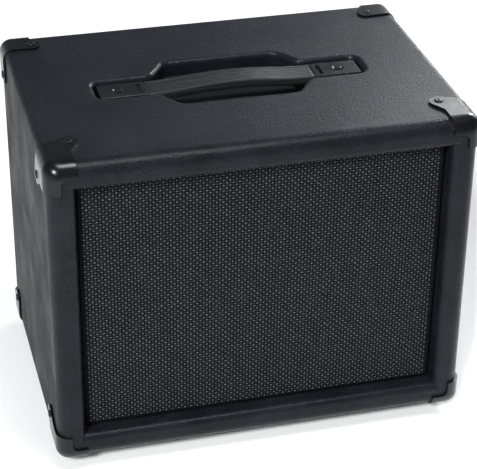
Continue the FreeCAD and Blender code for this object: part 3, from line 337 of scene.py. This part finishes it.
vinyl_roughness, fleck_dull, crest_gloss, pull_gloss, rub_dull = 0.47, 0.18, 0.14, 0.11, 0.34
usual_height, tone_gain, pull_flatten, pull_power = 0.85, 0.5, 0.30, 3.0
vinyl, vinyl_tree, vinyl_shader = finish_for("pebbled_black_vinyl", (0.012, 0.013, 0.015),
                                             vinyl_roughness, specular=0.13)
vinyl_grain = lay_group(vinyl_tree, pebble_grain, {})
vinyl_pull = lay_group(vinyl_tree, pulled_smooth, {})
# The colour follows the pebbles' height: the hollows between pebbles are painted darker as painted
# shade, and the crests lighter. The fleck added to that is random tone.
vinyl_hollow_shade_and_fleck = add_math(vinyl_tree, "SUBTRACT", vinyl_grain["Height"], usual_height)
vinyl_hollow_shade_and_fleck = add_math(vinyl_tree, "ADD", vinyl_grain["Fleck"], vinyl_hollow_shade_and_fleck)
add_tone(vinyl_tree, vinyl_shader, add_math(vinyl_tree, "MULTIPLY", vinyl_hollow_shade_and_fleck, tone_gain),
         [(0.30, (0.0052, 0.0062, 0.0082)), (0.70, (0.0140, 0.0162, 0.0198))])
vinyl_rough = add_math(vinyl_tree, "SUBTRACT",
                       add_math(vinyl_tree, "MULTIPLY", vinyl_grain["Fleck"], fleck_dull),
                       add_math(vinyl_tree, "MULTIPLY", vinyl_grain["Height"], crest_gloss))
vinyl_gloss = add_math(vinyl_tree, "POWER", vinyl_pull["Pull"], pull_power)
vinyl_rough = add_math(vinyl_tree, "SUBTRACT", vinyl_rough,
                       add_math(vinyl_tree, "MULTIPLY", vinyl_gloss, pull_gloss))
vinyl_scuff = add_math(vinyl_tree, "MULTIPLY", vinyl_pull["Rub"], vinyl_grain["Fleck"])
vinyl_rough = add_math(vinyl_tree, "ADD", vinyl_rough,
                       add_math(vinyl_tree, "MULTIPLY", vinyl_scuff, rub_dull))
vinyl_tree.links.new(add_math(vinyl_tree, "ADD", vinyl_rough, vinyl_roughness),
                     vinyl_shader.inputs["Roughness"])
vinyl_flat = add_math(vinyl_tree, "SUBTRACT", 1.0,
                      add_math(vinyl_tree, "MULTIPLY", vinyl_pull["Pull"], pull_flatten))
add_bump(vinyl_tree, vinyl_shader, add_math(vinyl_tree, "MULTIPLY", vinyl_grain["Height"], vinyl_flat),
         strength=1.0, depth=0.00027)
dress(vinyl, "vinyl", "vinyl_wrap", "upper_back_board", "lower_back_board")


# Grille: black cloth woven from thick glossy yarn, stretched over the grille frame, turned in
# behind it and held in the recess by pads of hook-and-loop tape on the baffle.
cloth_half, cloth_low, cloth_high = 0.1809, 0.0401, 0.3139
cloth_face, cloth_rear, cloth_turn = -0.1280, -0.1170, 0.0130
cloth_thickness, cloth_allowance = 0.0004, 0.048
yarn_rise, weft_pitch, warp_pitch, yarn_margin = 0.00042, 0.0029, 0.0032, 0.006


def cloth_loop(inset, level):
    """Rectangle of cloth corners, inset from the grille's edges, at one depth."""
    right, low, high = cloth_half - inset, cloth_low + inset, cloth_high - inset
    return [(-right, level, low), (right, level, low), (right, level, high), (-right, level, high)]


cloth_steps = [(0.0030, cloth_face + yarn_rise), (0.0012, cloth_face + 0.0008),
               (yarn_rise, cloth_face + 0.0024), (yarn_rise, cloth_rear - 0.0012),
               (0.0009, cloth_rear - yarn_rise), (cloth_turn, cloth_rear - yarn_rise)]
cloth_points = [point for inset, level in cloth_steps for point in cloth_loop(inset, level)]
cloth_faces = [(0, 1, 2, 3)]
for step in range(len(cloth_steps) - 1):
    for corner in range(4):
        following = (corner + 1) % 4
        cloth_faces.append((4 * step + corner, 4 * (step + 1) + corner,
                            4 * (step + 1) + following, 4 * step + following))
grille_weave = mesh_piece("grille_weave", cloth_points, cloth_faces)
grille_weave.data.shade_smooth()
cloth_body = grille_weave.modifiers.new("cloth_body", "SOLIDIFY")
cloth_body.thickness = cloth_thickness
cloth_body.offset = -1.0

yarn_twist, twist_in, twist_out = shader_group(
    "yarn_twist", {"Strands Per Metre": 2600.0}, ("Ply", "Lint"))
bands_per_strand = 0.05
twist_wave = yarn_twist.nodes.new("ShaderNodeTexWave")
twist_wave.bands_direction = "DIAGONAL"
twist_wave.inputs["Distortion"].default_value = 1.2
twist_wave.inputs["Detail"].default_value = 1.0
twist_scale = add_math(yarn_twist, "MULTIPLY", twist_in["Strands Per Metre"], bands_per_strand)
yarn_twist.links.new(twist_scale, twist_wave.inputs["Scale"])
yarn_twist.links.new(twist_in["Vector"], twist_wave.inputs["Vector"])
yarn_twist.links.new(twist_wave.outputs["Fac"], twist_out["Ply"])
yarn_twist.links.new(add_noise(yarn_twist, twist_in["Vector"], scale=160.0, detail=4.0),
                     twist_out["Lint"])


def yarn_finish(name, dark, pale, roughness, specular, sheen):
    """Twisted yarn, with strands, lint and a soft sheen."""
    lint_share, ply_share = 0.7, 0.3
    material, tree, shader = finish_for(name, pale, roughness, specular)
    shader.inputs["Sheen Weight"].default_value = sheen
    twist = lay_group(tree, yarn_twist, {})
    tone = add_math(tree, "ADD", add_math(tree, "MULTIPLY", twist["Lint"], lint_share),
                    add_math(tree, "MULTIPLY", twist["Ply"], ply_share))
    add_tone(tree, shader, tone, [(0.25, dark), (0.75, pale)])
    add_bump(tree, shader, twist["Ply"], strength=0.4, depth=0.0002)
    return material


# The three yarn finishes are lit and shaded copies of one black yarn. The weft is painted paler, as a
# painted highlight on the crossings where it rides up and catches light. The warp and backing are
# painted darker, as painted shade in the gaps between those crossings.
painted_shade_backing_yarn = yarn_finish("grille_painted_shade_backing_yarn", (0.002, 0.002, 0.0025), (0.005, 0.005, 0.006),
                           roughness=0.8, specular=0.1, sheen=0.0)
painted_lit_weft_yarn = yarn_finish("grille_painted_lit_weft_yarn", (0.034, 0.036, 0.039), (0.070, 0.073, 0.078),
                        roughness=0.40, specular=0.40, sheen=0.1)
painted_shade_warp_yarn = yarn_finish("grille_painted_shade_warp_yarn", (0.008, 0.0085, 0.0095), (0.015, 0.016, 0.017),
                        roughness=0.6, specular=0.15, sheen=0.0)
grille_weave.data.materials.append(painted_shade_backing_yarn)
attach(grille_weave, "root")
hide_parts("grille_cloth")


def yarn_float(name, long_half, short_half, rise):
    """Low dome of yarn where a thread passes over another, lying in the XZ plane, facing -Y."""
    sides, rings = 8, [(1.0, 0.0), (0.78, 0.62)]
    points = []
    for share, lift in rings:
        for number in range(sides):
            angle = math.tau * number / sides
            points.append((long_half * share * math.cos(angle), -rise * lift,
                           short_half * share * math.sin(angle)))
    points.append((0.0, -rise, 0.0))
    faces = []
    for number in range(sides):
        following = (number + 1) % sides
        faces.append((number, following, sides + following, sides + number))
        faces.append((sides + number, sides + following, 2 * sides))
    mesh = bpy.data.meshes.new(name)
    mesh.from_pydata(points, [], faces)
    mesh.shade_smooth()
    return bpy.data.objects.new(name, mesh)


def weave_tree(name):
    """Geometry nodes that lay yarn floats on alternate crossings of a flat weave."""
    tree = bpy.data.node_groups.new(name, "GeometryNodeTree")
    sockets = {}
    for label, kind, value in (
            ("Float", "NodeSocketObject", None), ("Yarn", "NodeSocketMaterial", None),
            ("Width", "NodeSocketFloat", 0.1), ("Height", "NodeSocketFloat", 0.1),
            ("Across", "NodeSocketInt", 10), ("Rows", "NodeSocketInt", 10),
            ("Middle", "NodeSocketVector", (0, 0, 0)), ("Shift", "NodeSocketVector", (0, 0, 0)),
            ("Least Lean", "NodeSocketVector", (0.0, -0.22, 0.0)),
            ("Most Lean", "NodeSocketVector", (0.0, 0.06, 0.0)),
            ("Least Swell", "NodeSocketVector", (0.86, 0.55, 0.86)),
            ("Most Swell", "NodeSocketVector", (1.08, 1.0, 1.08)), ("Seed", "NodeSocketInt", 3)):
        socket = tree.interface.new_socket(label, in_out="INPUT", socket_type=kind)
        if value is not None:
            socket.default_value = value
        sockets[label] = socket.identifier
    tree.interface.new_socket("Geometry", in_out="OUTPUT", socket_type="NodeSocketGeometry")
    start, end = tree.nodes.new("NodeGroupInput"), tree.nodes.new("NodeGroupOutput")
    both = tree.nodes.new("GeometryNodeJoinGeometry")
    shifted = tree.nodes.new("ShaderNodeVectorMath")
    shifted.operation = "ADD"
    tree.links.new(start.outputs["Middle"], shifted.inputs[0])
    tree.links.new(start.outputs["Shift"], shifted.inputs[1])
    for place in (start.outputs["Middle"], shifted.outputs[0]):
        rows = tree.nodes.new("GeometryNodeMeshGrid")
        for label, socket in (("Width", "Size X"), ("Height", "Size Y"), ("Across", "Vertices X"),
                              ("Rows", "Vertices Y")):
            tree.links.new(start.outputs[label], rows.inputs[socket])
        upright = tree.nodes.new("GeometryNodeTransform")
        upright.inputs["Rotation"].default_value = (math.pi / 2, 0, 0)
        tree.links.new(rows.outputs["Mesh"], upright.inputs["Geometry"])
        tree.links.new(place, upright.inputs["Translation"])
        tree.links.new(upright.outputs["Geometry"], both.inputs["Geometry"])
    shape = tree.nodes.new("GeometryNodeObjectInfo")
    tree.links.new(start.outputs["Float"], shape.inputs["Object"])
    lay = tree.nodes.new("GeometryNodeInstanceOnPoints")
    tree.links.new(both.outputs["Geometry"], lay.inputs["Points"])
    tree.links.new(shape.outputs["Geometry"], lay.inputs["Instance"])
    for label, socket in (("Lean", "Rotation"), ("Swell", "Scale")):
        chance = tree.nodes.new("FunctionNodeRandomValue")
        chance.data_type = "FLOAT_VECTOR"
        tree.links.new(start.outputs[f"Least {label}"], chance.inputs["Min"])
        tree.links.new(start.outputs[f"Most {label}"], chance.inputs["Max"])
        tree.links.new(start.outputs["Seed"], chance.inputs["Seed"])
        tree.links.new(chance.outputs["Value"], lay.inputs[socket])
    real = tree.nodes.new("GeometryNodeRealizeInstances")
    paint = tree.nodes.new("GeometryNodeSetMaterial")
    tree.links.new(lay.outputs["Instances"], real.inputs["Geometry"])
    tree.links.new(real.outputs["Geometry"], paint.inputs["Geometry"])
    tree.links.new(start.outputs["Yarn"], paint.inputs["Material"])
    tree.links.new(paint.outputs["Geometry"], end.inputs["Geometry"])
    return tree, sockets


def plain_mesh(holder, name):
    """Plain mesh object of what a holder's modifiers make, with the holder removed."""
    graph = bpy.context.evaluated_depsgraph_get()
    mesh = bpy.data.meshes.new_from_object(holder.evaluated_get(graph), depsgraph=graph)
    mesh.name = name
    piece = bpy.data.objects.new(name, mesh)
    bpy.data.objects.remove(holder)
    scene.collection.objects.link(piece)
    return piece


weave, weave_sockets = weave_tree("plain_weave")
float_columns = int((2 * cloth_half - yarn_margin) / (2 * warp_pitch))
float_rows = int((cloth_high - cloth_low - yarn_margin) / (2 * weft_pitch))
weave_middle = Vector((-warp_pitch / 2, cloth_face + yarn_rise,
                       (cloth_low + cloth_high) / 2 - weft_pitch / 2))
for yarn_name, yarn, long_half, short_half, start_shift, shift in (
        ("grille_weft", painted_lit_weft_yarn, 0.00122, 0.00080,
         (0.0, 0.0, 0.0), (warp_pitch, 0.0, weft_pitch)),
        ("grille_warp", painted_shade_warp_yarn, 0.00095, 0.00150,
         (0.0, 0.0, weft_pitch), (warp_pitch, 0.0, -weft_pitch))):
    dome = yarn_float(f"{yarn_name}_float", long_half, short_half, yarn_rise)
    holder = mesh_piece(f"{yarn_name}_holder", [], [])
    layer = holder.modifiers.new("weave", "NODES")
    layer.node_group = weave
    for label, value in (("Float", dome), ("Yarn", yarn),
                         ("Width", (float_columns - 1) * 2 * warp_pitch),
                         ("Height", (float_rows - 1) * 2 * weft_pitch),
                         ("Across", float_columns), ("Rows", float_rows),
                         ("Middle", weave_middle + Vector(start_shift)), ("Shift", shift)):
        layer[weave_sockets[label]] = value
    threads = plain_mesh(holder, yarn_name)
    bpy.data.objects.remove(dome)
    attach(threads, "root")

hook_tape, hook_tree, hook_shader = finish_for("hook_and_loop_tape", (0.015, 0.015, 0.015),
                                               roughness=0.9, specular=0.2)
add_bump(hook_tree, hook_shader, add_noise(hook_tree, place_on(hook_tree), scale=2600.0),
         strength=0.8, depth=0.0005)
dress(hook_tape, "hook_and_loop", "grille_pads")


# Corner guards: eight moulded black plastic corners pushed over the covered box corners, each
# held by one cross-recess screw in its level ear and one in its side ear. All the cabinet's
# screws and bolts are the same black zinc.
moulded_skin, skin_in, skin_out = shader_group(
    "moulded_skin", {"Grain Per Metre": 2500.0}, ("Grain", "Smear"))
moulded_skin.links.new(add_noise(moulded_skin, skin_in["Vector"], skin_in["Grain Per Metre"]),
                       skin_out["Grain"])
skin_smear = add_noise(moulded_skin, skin_in["Vector"], scale=45.0, detail=4.0, distortion=0.6)
moulded_skin.links.new(skin_smear, skin_out["Smear"])


def vary_roughness(tree, shader, value, share, roughness):
    """Roughness that swings with a value that lies about a half."""
    swing = add_math(tree, "MULTIPLY", add_math(tree, "SUBTRACT", value, 0.5), share)
    tree.links.new(add_math(tree, "ADD", swing, roughness), shader.inputs["Roughness"])


def moulded_finish(name, colour, roughness, specular, grain_per_metre, grain_depth):
    """Moulded plastic or rubber, with a fine skin grain and faint handling smears."""
    smear_share, darkest, lightest = 0.22, 0.78, 1.22
    material, tree, shader = finish_for(name, colour, roughness, specular)
    skin = lay_group(tree, moulded_skin, {"Grain Per Metre": grain_per_metre})
    vary_roughness(tree, shader, skin["Smear"], smear_share, roughness)
    add_tone(tree, shader, skin["Smear"], [(0.3, tuple(darkest * part for part in colour)),
                                           (0.7, tuple(lightest * part for part in colour))])
    add_bump(tree, shader, skin["Grain"], strength=0.5, depth=grain_depth)
    return material


def eased_copy(name, node_name, material, edge):
    """Merged copy of a CAD node with its sharp edges eased, riding on the box in its place."""
    weld, flat_angle, sharp_angle = 0.000005, math.radians(0.6), math.radians(35)
    shape = bmesh.new()
    shape.from_mesh(nodes[node_name].data)
    bmesh.ops.remove_doubles(shape, verts=shape.verts, dist=weld)
    bmesh.ops.dissolve_limit(shape, angle_limit=flat_angle, verts=shape.verts, edges=shape.edges)
    for face in shape.faces:
        face.smooth = True
    piece = mesh_piece(name, [], [])
    shape.to_mesh(piece.data)
    shape.free()
    loose_normals = piece.data.attributes.get("custom_normal")
    if loose_normals:
        piece.data.attributes.remove(loose_normals)
    piece.data.materials.append(material)
    eased = piece.modifiers.new("eased_edges", "BEVEL")
    eased.width = edge
    eased.segments = 2
    eased.limit_method = "ANGLE"
    eased.angle_limit = sharp_angle
    flats = piece.modifiers.new("even_flats", "WEIGHTED_NORMAL")
    flats.weight = 50
    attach(piece, "root")
    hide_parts(node_name)


guard_edge = 0.0009
guard_plastic = moulded_finish("glossy_guard_plastic", (0.004, 0.004, 0.005), roughness=0.24,
                               specular=0.30, grain_per_metre=1500.0, grain_depth=0.00002)
for guard_end in ("front", "rear"):
    for guard_place in ("top_right", "top_left", "bottom_right", "bottom_left"):
        guard_node = f"{guard_end}_{guard_place}_corner"
        eased_copy(f"{guard_node}_guard", guard_node, guard_plastic, guard_edge)

worn_metal, wear_in, wear_out = shader_group(
    "worn_metal", {"Scratches Per Metre": 700.0}, ("Scratch", "Tarnish"))
wear_scratch = add_noise(worn_metal, wear_in["Vector"], wear_in["Scratches Per Metre"],
                         detail=6.0, roughness=0.7)
worn_metal.links.new(wear_scratch, wear_out["Scratch"])
worn_metal.links.new(add_noise(worn_metal, wear_in["Vector"], scale=90.0, detail=4.0),
                     wear_out["Tarnish"])


def metal_finish(name, colour, dull_colour, roughness, metallic=1.0, scratches=700.0, pits=0.00001):
    """Metal or metal plating with tarnish patches and fine scratches."""
    patch_share = 0.12
    material, tree, shader = finish_for(name, colour, roughness, metallic=metallic)
    wear = lay_group(tree, worn_metal, {"Scratches Per Metre": scratches})
    add_tone(tree, shader, wear["Tarnish"], [(0.35, dull_colour), (0.65, colour)])
    vary_roughness(tree, shader, wear["Scratch"], patch_share, roughness)
    add_bump(tree, shader, wear["Scratch"], strength=0.3, depth=pits)
    return material


black_zinc = metal_finish("black_zinc_screw", (0.020, 0.020, 0.022), (0.008, 0.008, 0.009),
                          roughness=0.26, metallic=0.6, pits=0.0012)
dress(black_zinc, "black_screw", "corner_screws", "foot_screws", "baffle_screws", "handle_screws",
      "back_screws", "driver_bolts")


# Feet: four turned-down cones of soft black rubber, each with a well for the screw and washer
# that hold it to the bottom panel.
foot_rubber = moulded_finish("foot_rubber", (0.018, 0.018, 0.018), roughness=0.72, specular=0.35,
                             grain_per_metre=1800.0, grain_depth=0.00008)
dress(foot_rubber, "foot_rubber", "front_left_foot", "front_right_foot", "rear_left_foot",
      "rear_right_foot")


# Handle: a moulded rubber strap over a spring steel core, bowed over the covered pocket, with
# each end under a plastic cap that one screw pulls down. Its middle lifts to take a hand.
cap_edge = 0.0004
cap_plastic = moulded_finish("satin_cap_plastic", (0.008, 0.0085, 0.0095), roughness=0.24,
                             specular=0.28, grain_per_metre=2200.0, grain_depth=0.00002)
for cap_side in ("left", "right"):
    eased_copy(f"{cap_side}_handle_cover", f"{cap_side}_handle_cap", cap_plastic, cap_edge)
spring_steel = metal_finish("blued_spring_steel", (0.24, 0.25, 0.28), (0.14, 0.15, 0.18),
                            roughness=0.35)
dress(spring_steel, "spring_steel", "strap_core")

strap_roughness, streak_share = 0.45, 0.3
strap_rubber, strap_tree, strap_shader = finish_for("ribbed_strap_rubber", (0.015, 0.016, 0.018),
                                                    strap_roughness, specular=0.27)
strap_stretch = strap_tree.nodes.new("ShaderNodeMapping")
strap_stretch.inputs["Scale"].default_value = (14.0, 1500.0, 300.0)
strap_tree.links.new(place_on(strap_tree), strap_stretch.inputs["Vector"])
strap_streak = add_noise(strap_tree, strap_stretch.outputs["Vector"], scale=1.0, detail=3.0)
add_tone(strap_tree, strap_shader, strap_streak,
         [(0.3, (0.006, 0.0065, 0.0075)), (0.72, (0.020, 0.021, 0.024))])
vary_roughness(strap_tree, strap_shader, strap_streak, streak_share, strap_roughness)
add_bump(strap_tree, strap_shader, strap_streak, strength=0.35, depth=0.0003)

strap_middle_y, strap_end_x, strap_end_z, strap_crown_z = 0.005, 0.0846, 0.3349, 0.3394
strap_bend_radius, strap_stations = 0.3987, 24
tongue_end_x, tongue_breadth, tongue_depth = 0.1060, 0.82, 0.42
rib_count, points_per_rib = 6, 4
rib_start, rib_step, rib_level, rib_rise = 0.0105, 0.000875, 0.0036, 0.00035
strap_rim = [(0.0150, 0.0012), (0.0148, 0.0028), (0.0142, 0.0040), (0.0134, 0.0045),
             (0.0125, 0.0044), (0.0115, 0.0040)]
strap_ribs = [(rib_start - rib_step * number,
               rib_level - rib_rise * math.cos(math.tau * number / points_per_rib))
              for number in range(rib_count * points_per_rib + 1)]
strap_under = [(0.0120, -0.0045), (0.0135, -0.0043), (0.0146, -0.0032), (0.0150, -0.0015)]
strap_section = (strap_rim + strap_ribs + [(-across, up) for across, up in reversed(strap_rim)]
                 + [(-across, up) for across, up in reversed(strap_under)] + strap_under)


def strap_line(along):
    """Height of the strap's middle line at a distance from its crown."""
    if along <= strap_end_x / 2:
        return strap_crown_z - strap_bend_radius + math.sqrt(strap_bend_radius ** 2 - along ** 2)
    left = strap_end_x - along
    return strap_end_z + strap_bend_radius - math.sqrt(strap_bend_radius ** 2 - left ** 2)


def strap_half(name, side):
    """Half of the strap, from its crown to the tongue inside one cap."""
    stations = [(strap_end_x * number / strap_stations, 1.0, 1.0) for number in range(strap_stations)]
    stations += [(strap_end_x - 0.0006, 1.0, 1.0), (strap_end_x - 0.0001, 0.98, 0.95),
                 (strap_end_x, tongue_breadth, tongue_depth),
                 (tongue_end_x, tongue_breadth, tongue_depth)]
    count = len(strap_section)
    points, faces = [], []
    for along, broad, deep in stations:
        height = strap_line(min(along, strap_end_x))
        points += [(side * along, strap_middle_y + across * broad, height + up * deep)
                   for across, up in strap_section]
    for row in range(len(stations) - 1):
        for number in range(count):
            following = (number + 1) % count
            faces.append((row * count + number, row * count + following,
                          (row + 1) * count + following, (row + 1) * count + number))
    faces.append(tuple(range(count)))
    faces.append(tuple(range((len(stations) - 1) * count, len(stations) * count)))
    piece = mesh_piece(name, points, faces)
    shape = bmesh.new()
    shape.from_mesh(piece.data)
    bmesh.ops.recalc_face_normals(shape, faces=shape.faces)
    for face in shape.faces:
        face.smooth = len(face.verts) == 4
        if not face.smooth:
            for edge in face.edges:
                edge.smooth = False
    shape.to_mesh(piece.data)
    shape.free()
    piece.data.materials.append(strap_rubber)
    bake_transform(piece)
    return piece


left_strap = strap_half("left_strap_half", -1)
right_strap = strap_half("right_strap_half", 1)
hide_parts("left_strap_end", "strap_grip")
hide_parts("right_strap_end", "strap_core")


# Back: two covered boards screwed to the cleats with an open slot between them, and in the
# lower board a black steel plate that carries the nickel-nutted input jack.
plate_paint = moulded_finish("black_plate_paint", (0.016, 0.016, 0.017), roughness=0.38,
                             specular=0.5, grain_per_metre=900.0, grain_depth=0.00006)
jack_plastic = moulded_finish("black_jack_plastic", (0.014, 0.014, 0.015), roughness=0.35,
                              specular=0.5, grain_per_metre=2000.0, grain_depth=0.00002)
nickel = metal_finish("nickel_plate", (0.66, 0.64, 0.60), (0.50, 0.48, 0.44), roughness=0.22)
dress(plate_paint, "jack_plate", "jack_plate")
dress(jack_plastic, "jack_body", "jack_socket")
dress(nickel, "nickel", "jack_nut")


# Driver: a ten inch speaker bolted behind the baffle. A pressed steel basket carries the motor;
# the paper cone hangs in it on a rolled edge and a corrugated spider, with a felt cap in front.
basket_paint = moulded_finish("basket_powder_coat", (0.018, 0.018, 0.019), roughness=0.42,
                              specular=0.5, grain_per_metre=700.0, grain_depth=0.0001)
zinc = metal_finish("yellow_zinc_plate", (0.42, 0.39, 0.32), (0.37, 0.34, 0.26), roughness=0.30,
                    scratches=400.0)
ferrite = moulded_finish("ferrite_magnet", (0.045, 0.045, 0.047), roughness=0.55, specular=0.4,
                         grain_per_metre=500.0, grain_depth=0.0001)
copper = metal_finish("copper_wire", (0.72, 0.34, 0.18), (0.52, 0.22, 0.11), roughness=0.3)
former_film = moulded_finish("amber_former_film", (0.42, 0.20, 0.05), roughness=0.3, specular=0.5,
                             grain_per_metre=900.0, grain_depth=0.00002)
cork = moulded_finish("pressed_cork", (0.36, 0.23, 0.12), roughness=0.85, specular=0.2,
                      grain_per_metre=420.0, grain_depth=0.0004)
dress(basket_paint, "basket_paint", "basket")
dress(zinc, "plated_steel", "top_plate", "back_plate")
dress(ferrite, "ferrite", "magnet_ring")
dress(copper, "copper_wire", "coil_winding")
dress(former_film, "former_film", "coil_former")
dress(cork, "gasket_cork", "driver_gasket")


def fibre_finish(name, dark, pale, roughness, fibres, depth):
    """Pressed paper, felt or cloth, with short fibres lying every way."""
    material, tree, shader = finish_for(name, pale, roughness, specular=0.25)
    twist = lay_group(tree, yarn_twist, {"Strands Per Metre": fibres})
    add_tone(tree, shader, twist["Lint"], [(0.3, dark), (0.7, pale)])
    add_bump(tree, shader, twist["Ply"], strength=0.4, depth=depth)
    return material


cone_paper = fibre_finish("cone_paper", (0.020, 0.019, 0.018), (0.042, 0.040, 0.038),
                          roughness=0.85, fibres=900.0, depth=0.0002)
cap_felt = fibre_finish("dust_cap_felt", (0.014, 0.014, 0.014), (0.030, 0.030, 0.030),
                        roughness=0.95, fibres=1500.0, depth=0.0004)
spider_weave = fibre_finish("spider_cloth", (0.36, 0.24, 0.08), (0.52, 0.37, 0.14),
                            roughness=0.8, fibres=2400.0, depth=0.0003)
dress(cone_paper, "cone_paper", "speaker_cone")
dress(cap_felt, "dust_cap_felt", "dust_cap")

driver_height, flange_level = 0.177, -0.096
wedge_count, wedge_steps, steps_per_roll = 12, 6, 8


def rolled_wedges(name, material, replaced, inner, outer, rim, rolls, swell, level, skin):
    """Rolled ring in wedges, from its inner edge out to its glued rim."""
    steps, sharp_angle = steps_per_roll * rolls, math.radians(50)
    profile = []
    for number in range(steps + 1):
        share = rolls * number / steps
        roll = min(int(share), rolls - 1)
        way = 1 if (rolls - roll) % 2 == 0 else -1
        profile.append((inner + (outer - inner) * number / steps,
                        level + way * swell * math.sin(math.pi * (share - roll))))
    profile.append((rim, level))
    for wedge in range(wedge_count):
        points, faces = [], []
        for layer in (0.0, skin):
            for turn_step in range(wedge_steps + 1):
                angle = math.tau * (wedge + turn_step / wedge_steps) / wedge_count
                points += [(radius * math.cos(angle), flange_level + depth + layer,
                            driver_height + radius * math.sin(angle)) for radius, depth in profile]
        row = len(profile)
        whole = row * (wedge_steps + 1)
        for turn_step in range(wedge_steps):
            for number in range(row - 1):
                corner = turn_step * row + number
                quad = (corner, corner + 1, corner + row + 1, corner + row)
                faces += [quad, tuple(reversed([whole + spot for spot in quad]))]
            for edge in (turn_step * row, turn_step * row + row - 1):
                faces.append((edge, edge + row, whole + edge + row, whole + edge))
        for number in range(row - 1):
            for edge in (number, wedge_steps * row + number):
                faces.append((edge, edge + 1, whole + edge + 1, whole + edge))
        piece = mesh_piece(f"{name}_{wedge + 1}", points, faces)
        shape = bmesh.new()
        shape.from_mesh(piece.data)
        bmesh.ops.recalc_face_normals(shape, faces=shape.faces)
        for edge in shape.edges:
            edge.smooth = edge.calc_face_angle(0.0) < sharp_angle
        for face in shape.faces:
            face.smooth = True
        shape.to_mesh(piece.data)
        shape.free()
        piece.data.materials.append(material)
        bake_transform(piece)
        if wedge == 0:
            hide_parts(replaced)


rolled_wedges("cone_edge", cone_paper, "cone_surround", inner=0.0963, outer=0.1100,
              rim=0.1184, rolls=3, swell=0.002283, level=-0.0008, skin=0.0008)
rolled_wedges("spider", spider_weave, "spider", inner=0.0178, outer=0.0520,
              rim=0.0600, rolls=6, swell=0.001995, level=0.0373, skin=0.0007)


# Wiring: a board with two tinned lugs on the basket, two braided leads from it to the cone, and
# a black and a red wire clipped to the right panel on their way from the jack to the lugs.
phenolic = wood_finish("phenolic_board", (0.30, 0.17, 0.08), (0.20, 0.10, 0.045), (30.0, 500.0, 500.0))
tinned = metal_finish("tinned_brass", (0.70, 0.69, 0.66), (0.55, 0.53, 0.49), roughness=0.3)
clip_nylon = moulded_finish("clip_nylon", (0.62, 0.61, 0.57), roughness=0.45, specular=0.5,
                            grain_per_metre=1500.0, grain_depth=0.00003)
dress(phenolic, "phenolic", "terminal_strip")
dress(tinned, "tinned_brass", "terminal_lugs")
dress(clip_nylon, "clip_nylon", "lead_clip")


def lead_curve(name, route, diameter, material):
    """Round lead along one smooth curve over its route."""
    curve = bpy.data.curves.new(name, "CURVE")
    curve.dimensions = "3D"
    curve.resolution_u = 12
    curve.bevel_depth = diameter / 2
    curve.bevel_resolution = 4
    curve.use_fill_caps = True
    line = curve.splines.new("NURBS")
    line.points.add(len(route) - 1)
    for spot, (across, along, up) in zip(line.points, route):
        spot.co = (across, along, up, 1.0)
    line.order_u = 3
    line.use_endpoint_u = True
    curve.materials.append(material)
    lead = bpy.data.objects.new(name, curve)
    scene.collection.objects.link(lead)
    return lead


wire_diameter = 0.0032
wire_routes = {
    "black": [(0.0995, 0.0966, 0.0853), (0.0995, 0.0726, 0.0883), (0.1370, 0.0566, 0.0938),
              (0.1707, 0.0560, 0.1063), (0.1887, 0.0380, 0.1143), (0.1887, 0.0020, 0.1143),
              (0.1747, -0.0180, 0.1283), (0.1447, -0.0260, 0.1503), (0.1017, -0.0134, 0.1605),
              (0.0897, -0.0254, 0.1705), (0.0897, -0.0434, 0.1705)],
    "red": [(0.1105, 0.0966, 0.0853), (0.1105, 0.0726, 0.0883), (0.1370, 0.0566, 0.1008),
            (0.1707, 0.0560, 0.1133), (0.1887, 0.0380, 0.1213), (0.1887, 0.0020, 0.1213),
            (0.1747, -0.0180, 0.1353), (0.1447, -0.0260, 0.1573), (0.1017, -0.0134, 0.1735),
            (0.0897, -0.0254, 0.1835), (0.0897, -0.0434, 0.1835)],
}
wire_colours = {"black": (0.012, 0.012, 0.012), "red": (0.42, 0.018, 0.014)}
for wire, route in wire_routes.items():
    insulation = moulded_finish(f"{wire}_wire_insulation", wire_colours[wire], roughness=0.42,
                                specular=0.5, grain_per_metre=1200.0, grain_depth=0.00003)
    lead = lead_curve(f"{wire}_wire", route, wire_diameter, insulation)
    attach(lead, "root")
    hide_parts(f"{wire}_lead")

braid_diameter, braid_length = 0.0016, 0.046
braid_points = [(0.0760, -0.0527, 0.0065), (0.0780, -0.0515, 0.0140), (0.0790, -0.0580, 0.0200),
                (0.0740, -0.0670, 0.0205), (0.0660, -0.0740, 0.0180), (0.0580, -0.0781, 0.0140)]
for braid_side, braid_name in ((-1, "lower"), (1, "upper")):
    braid_route = [(across, along, driver_height + braid_side * apart)
                   for across, along, apart in braid_points]
    line = plain_mesh(lead_curve(f"{braid_name}_braid_curve", braid_route, 0.0, copper),
                      f"{braid_name}_braid_line")
    bpy.data.meshes.remove(line.data)
    braid = plain_mesh(lead_curve(f"{braid_name}_braid_tube", braid_route, braid_diameter, copper),
                       f"{braid_name}_tinsel_braid")
    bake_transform(braid)
    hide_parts("tinsel_leads")
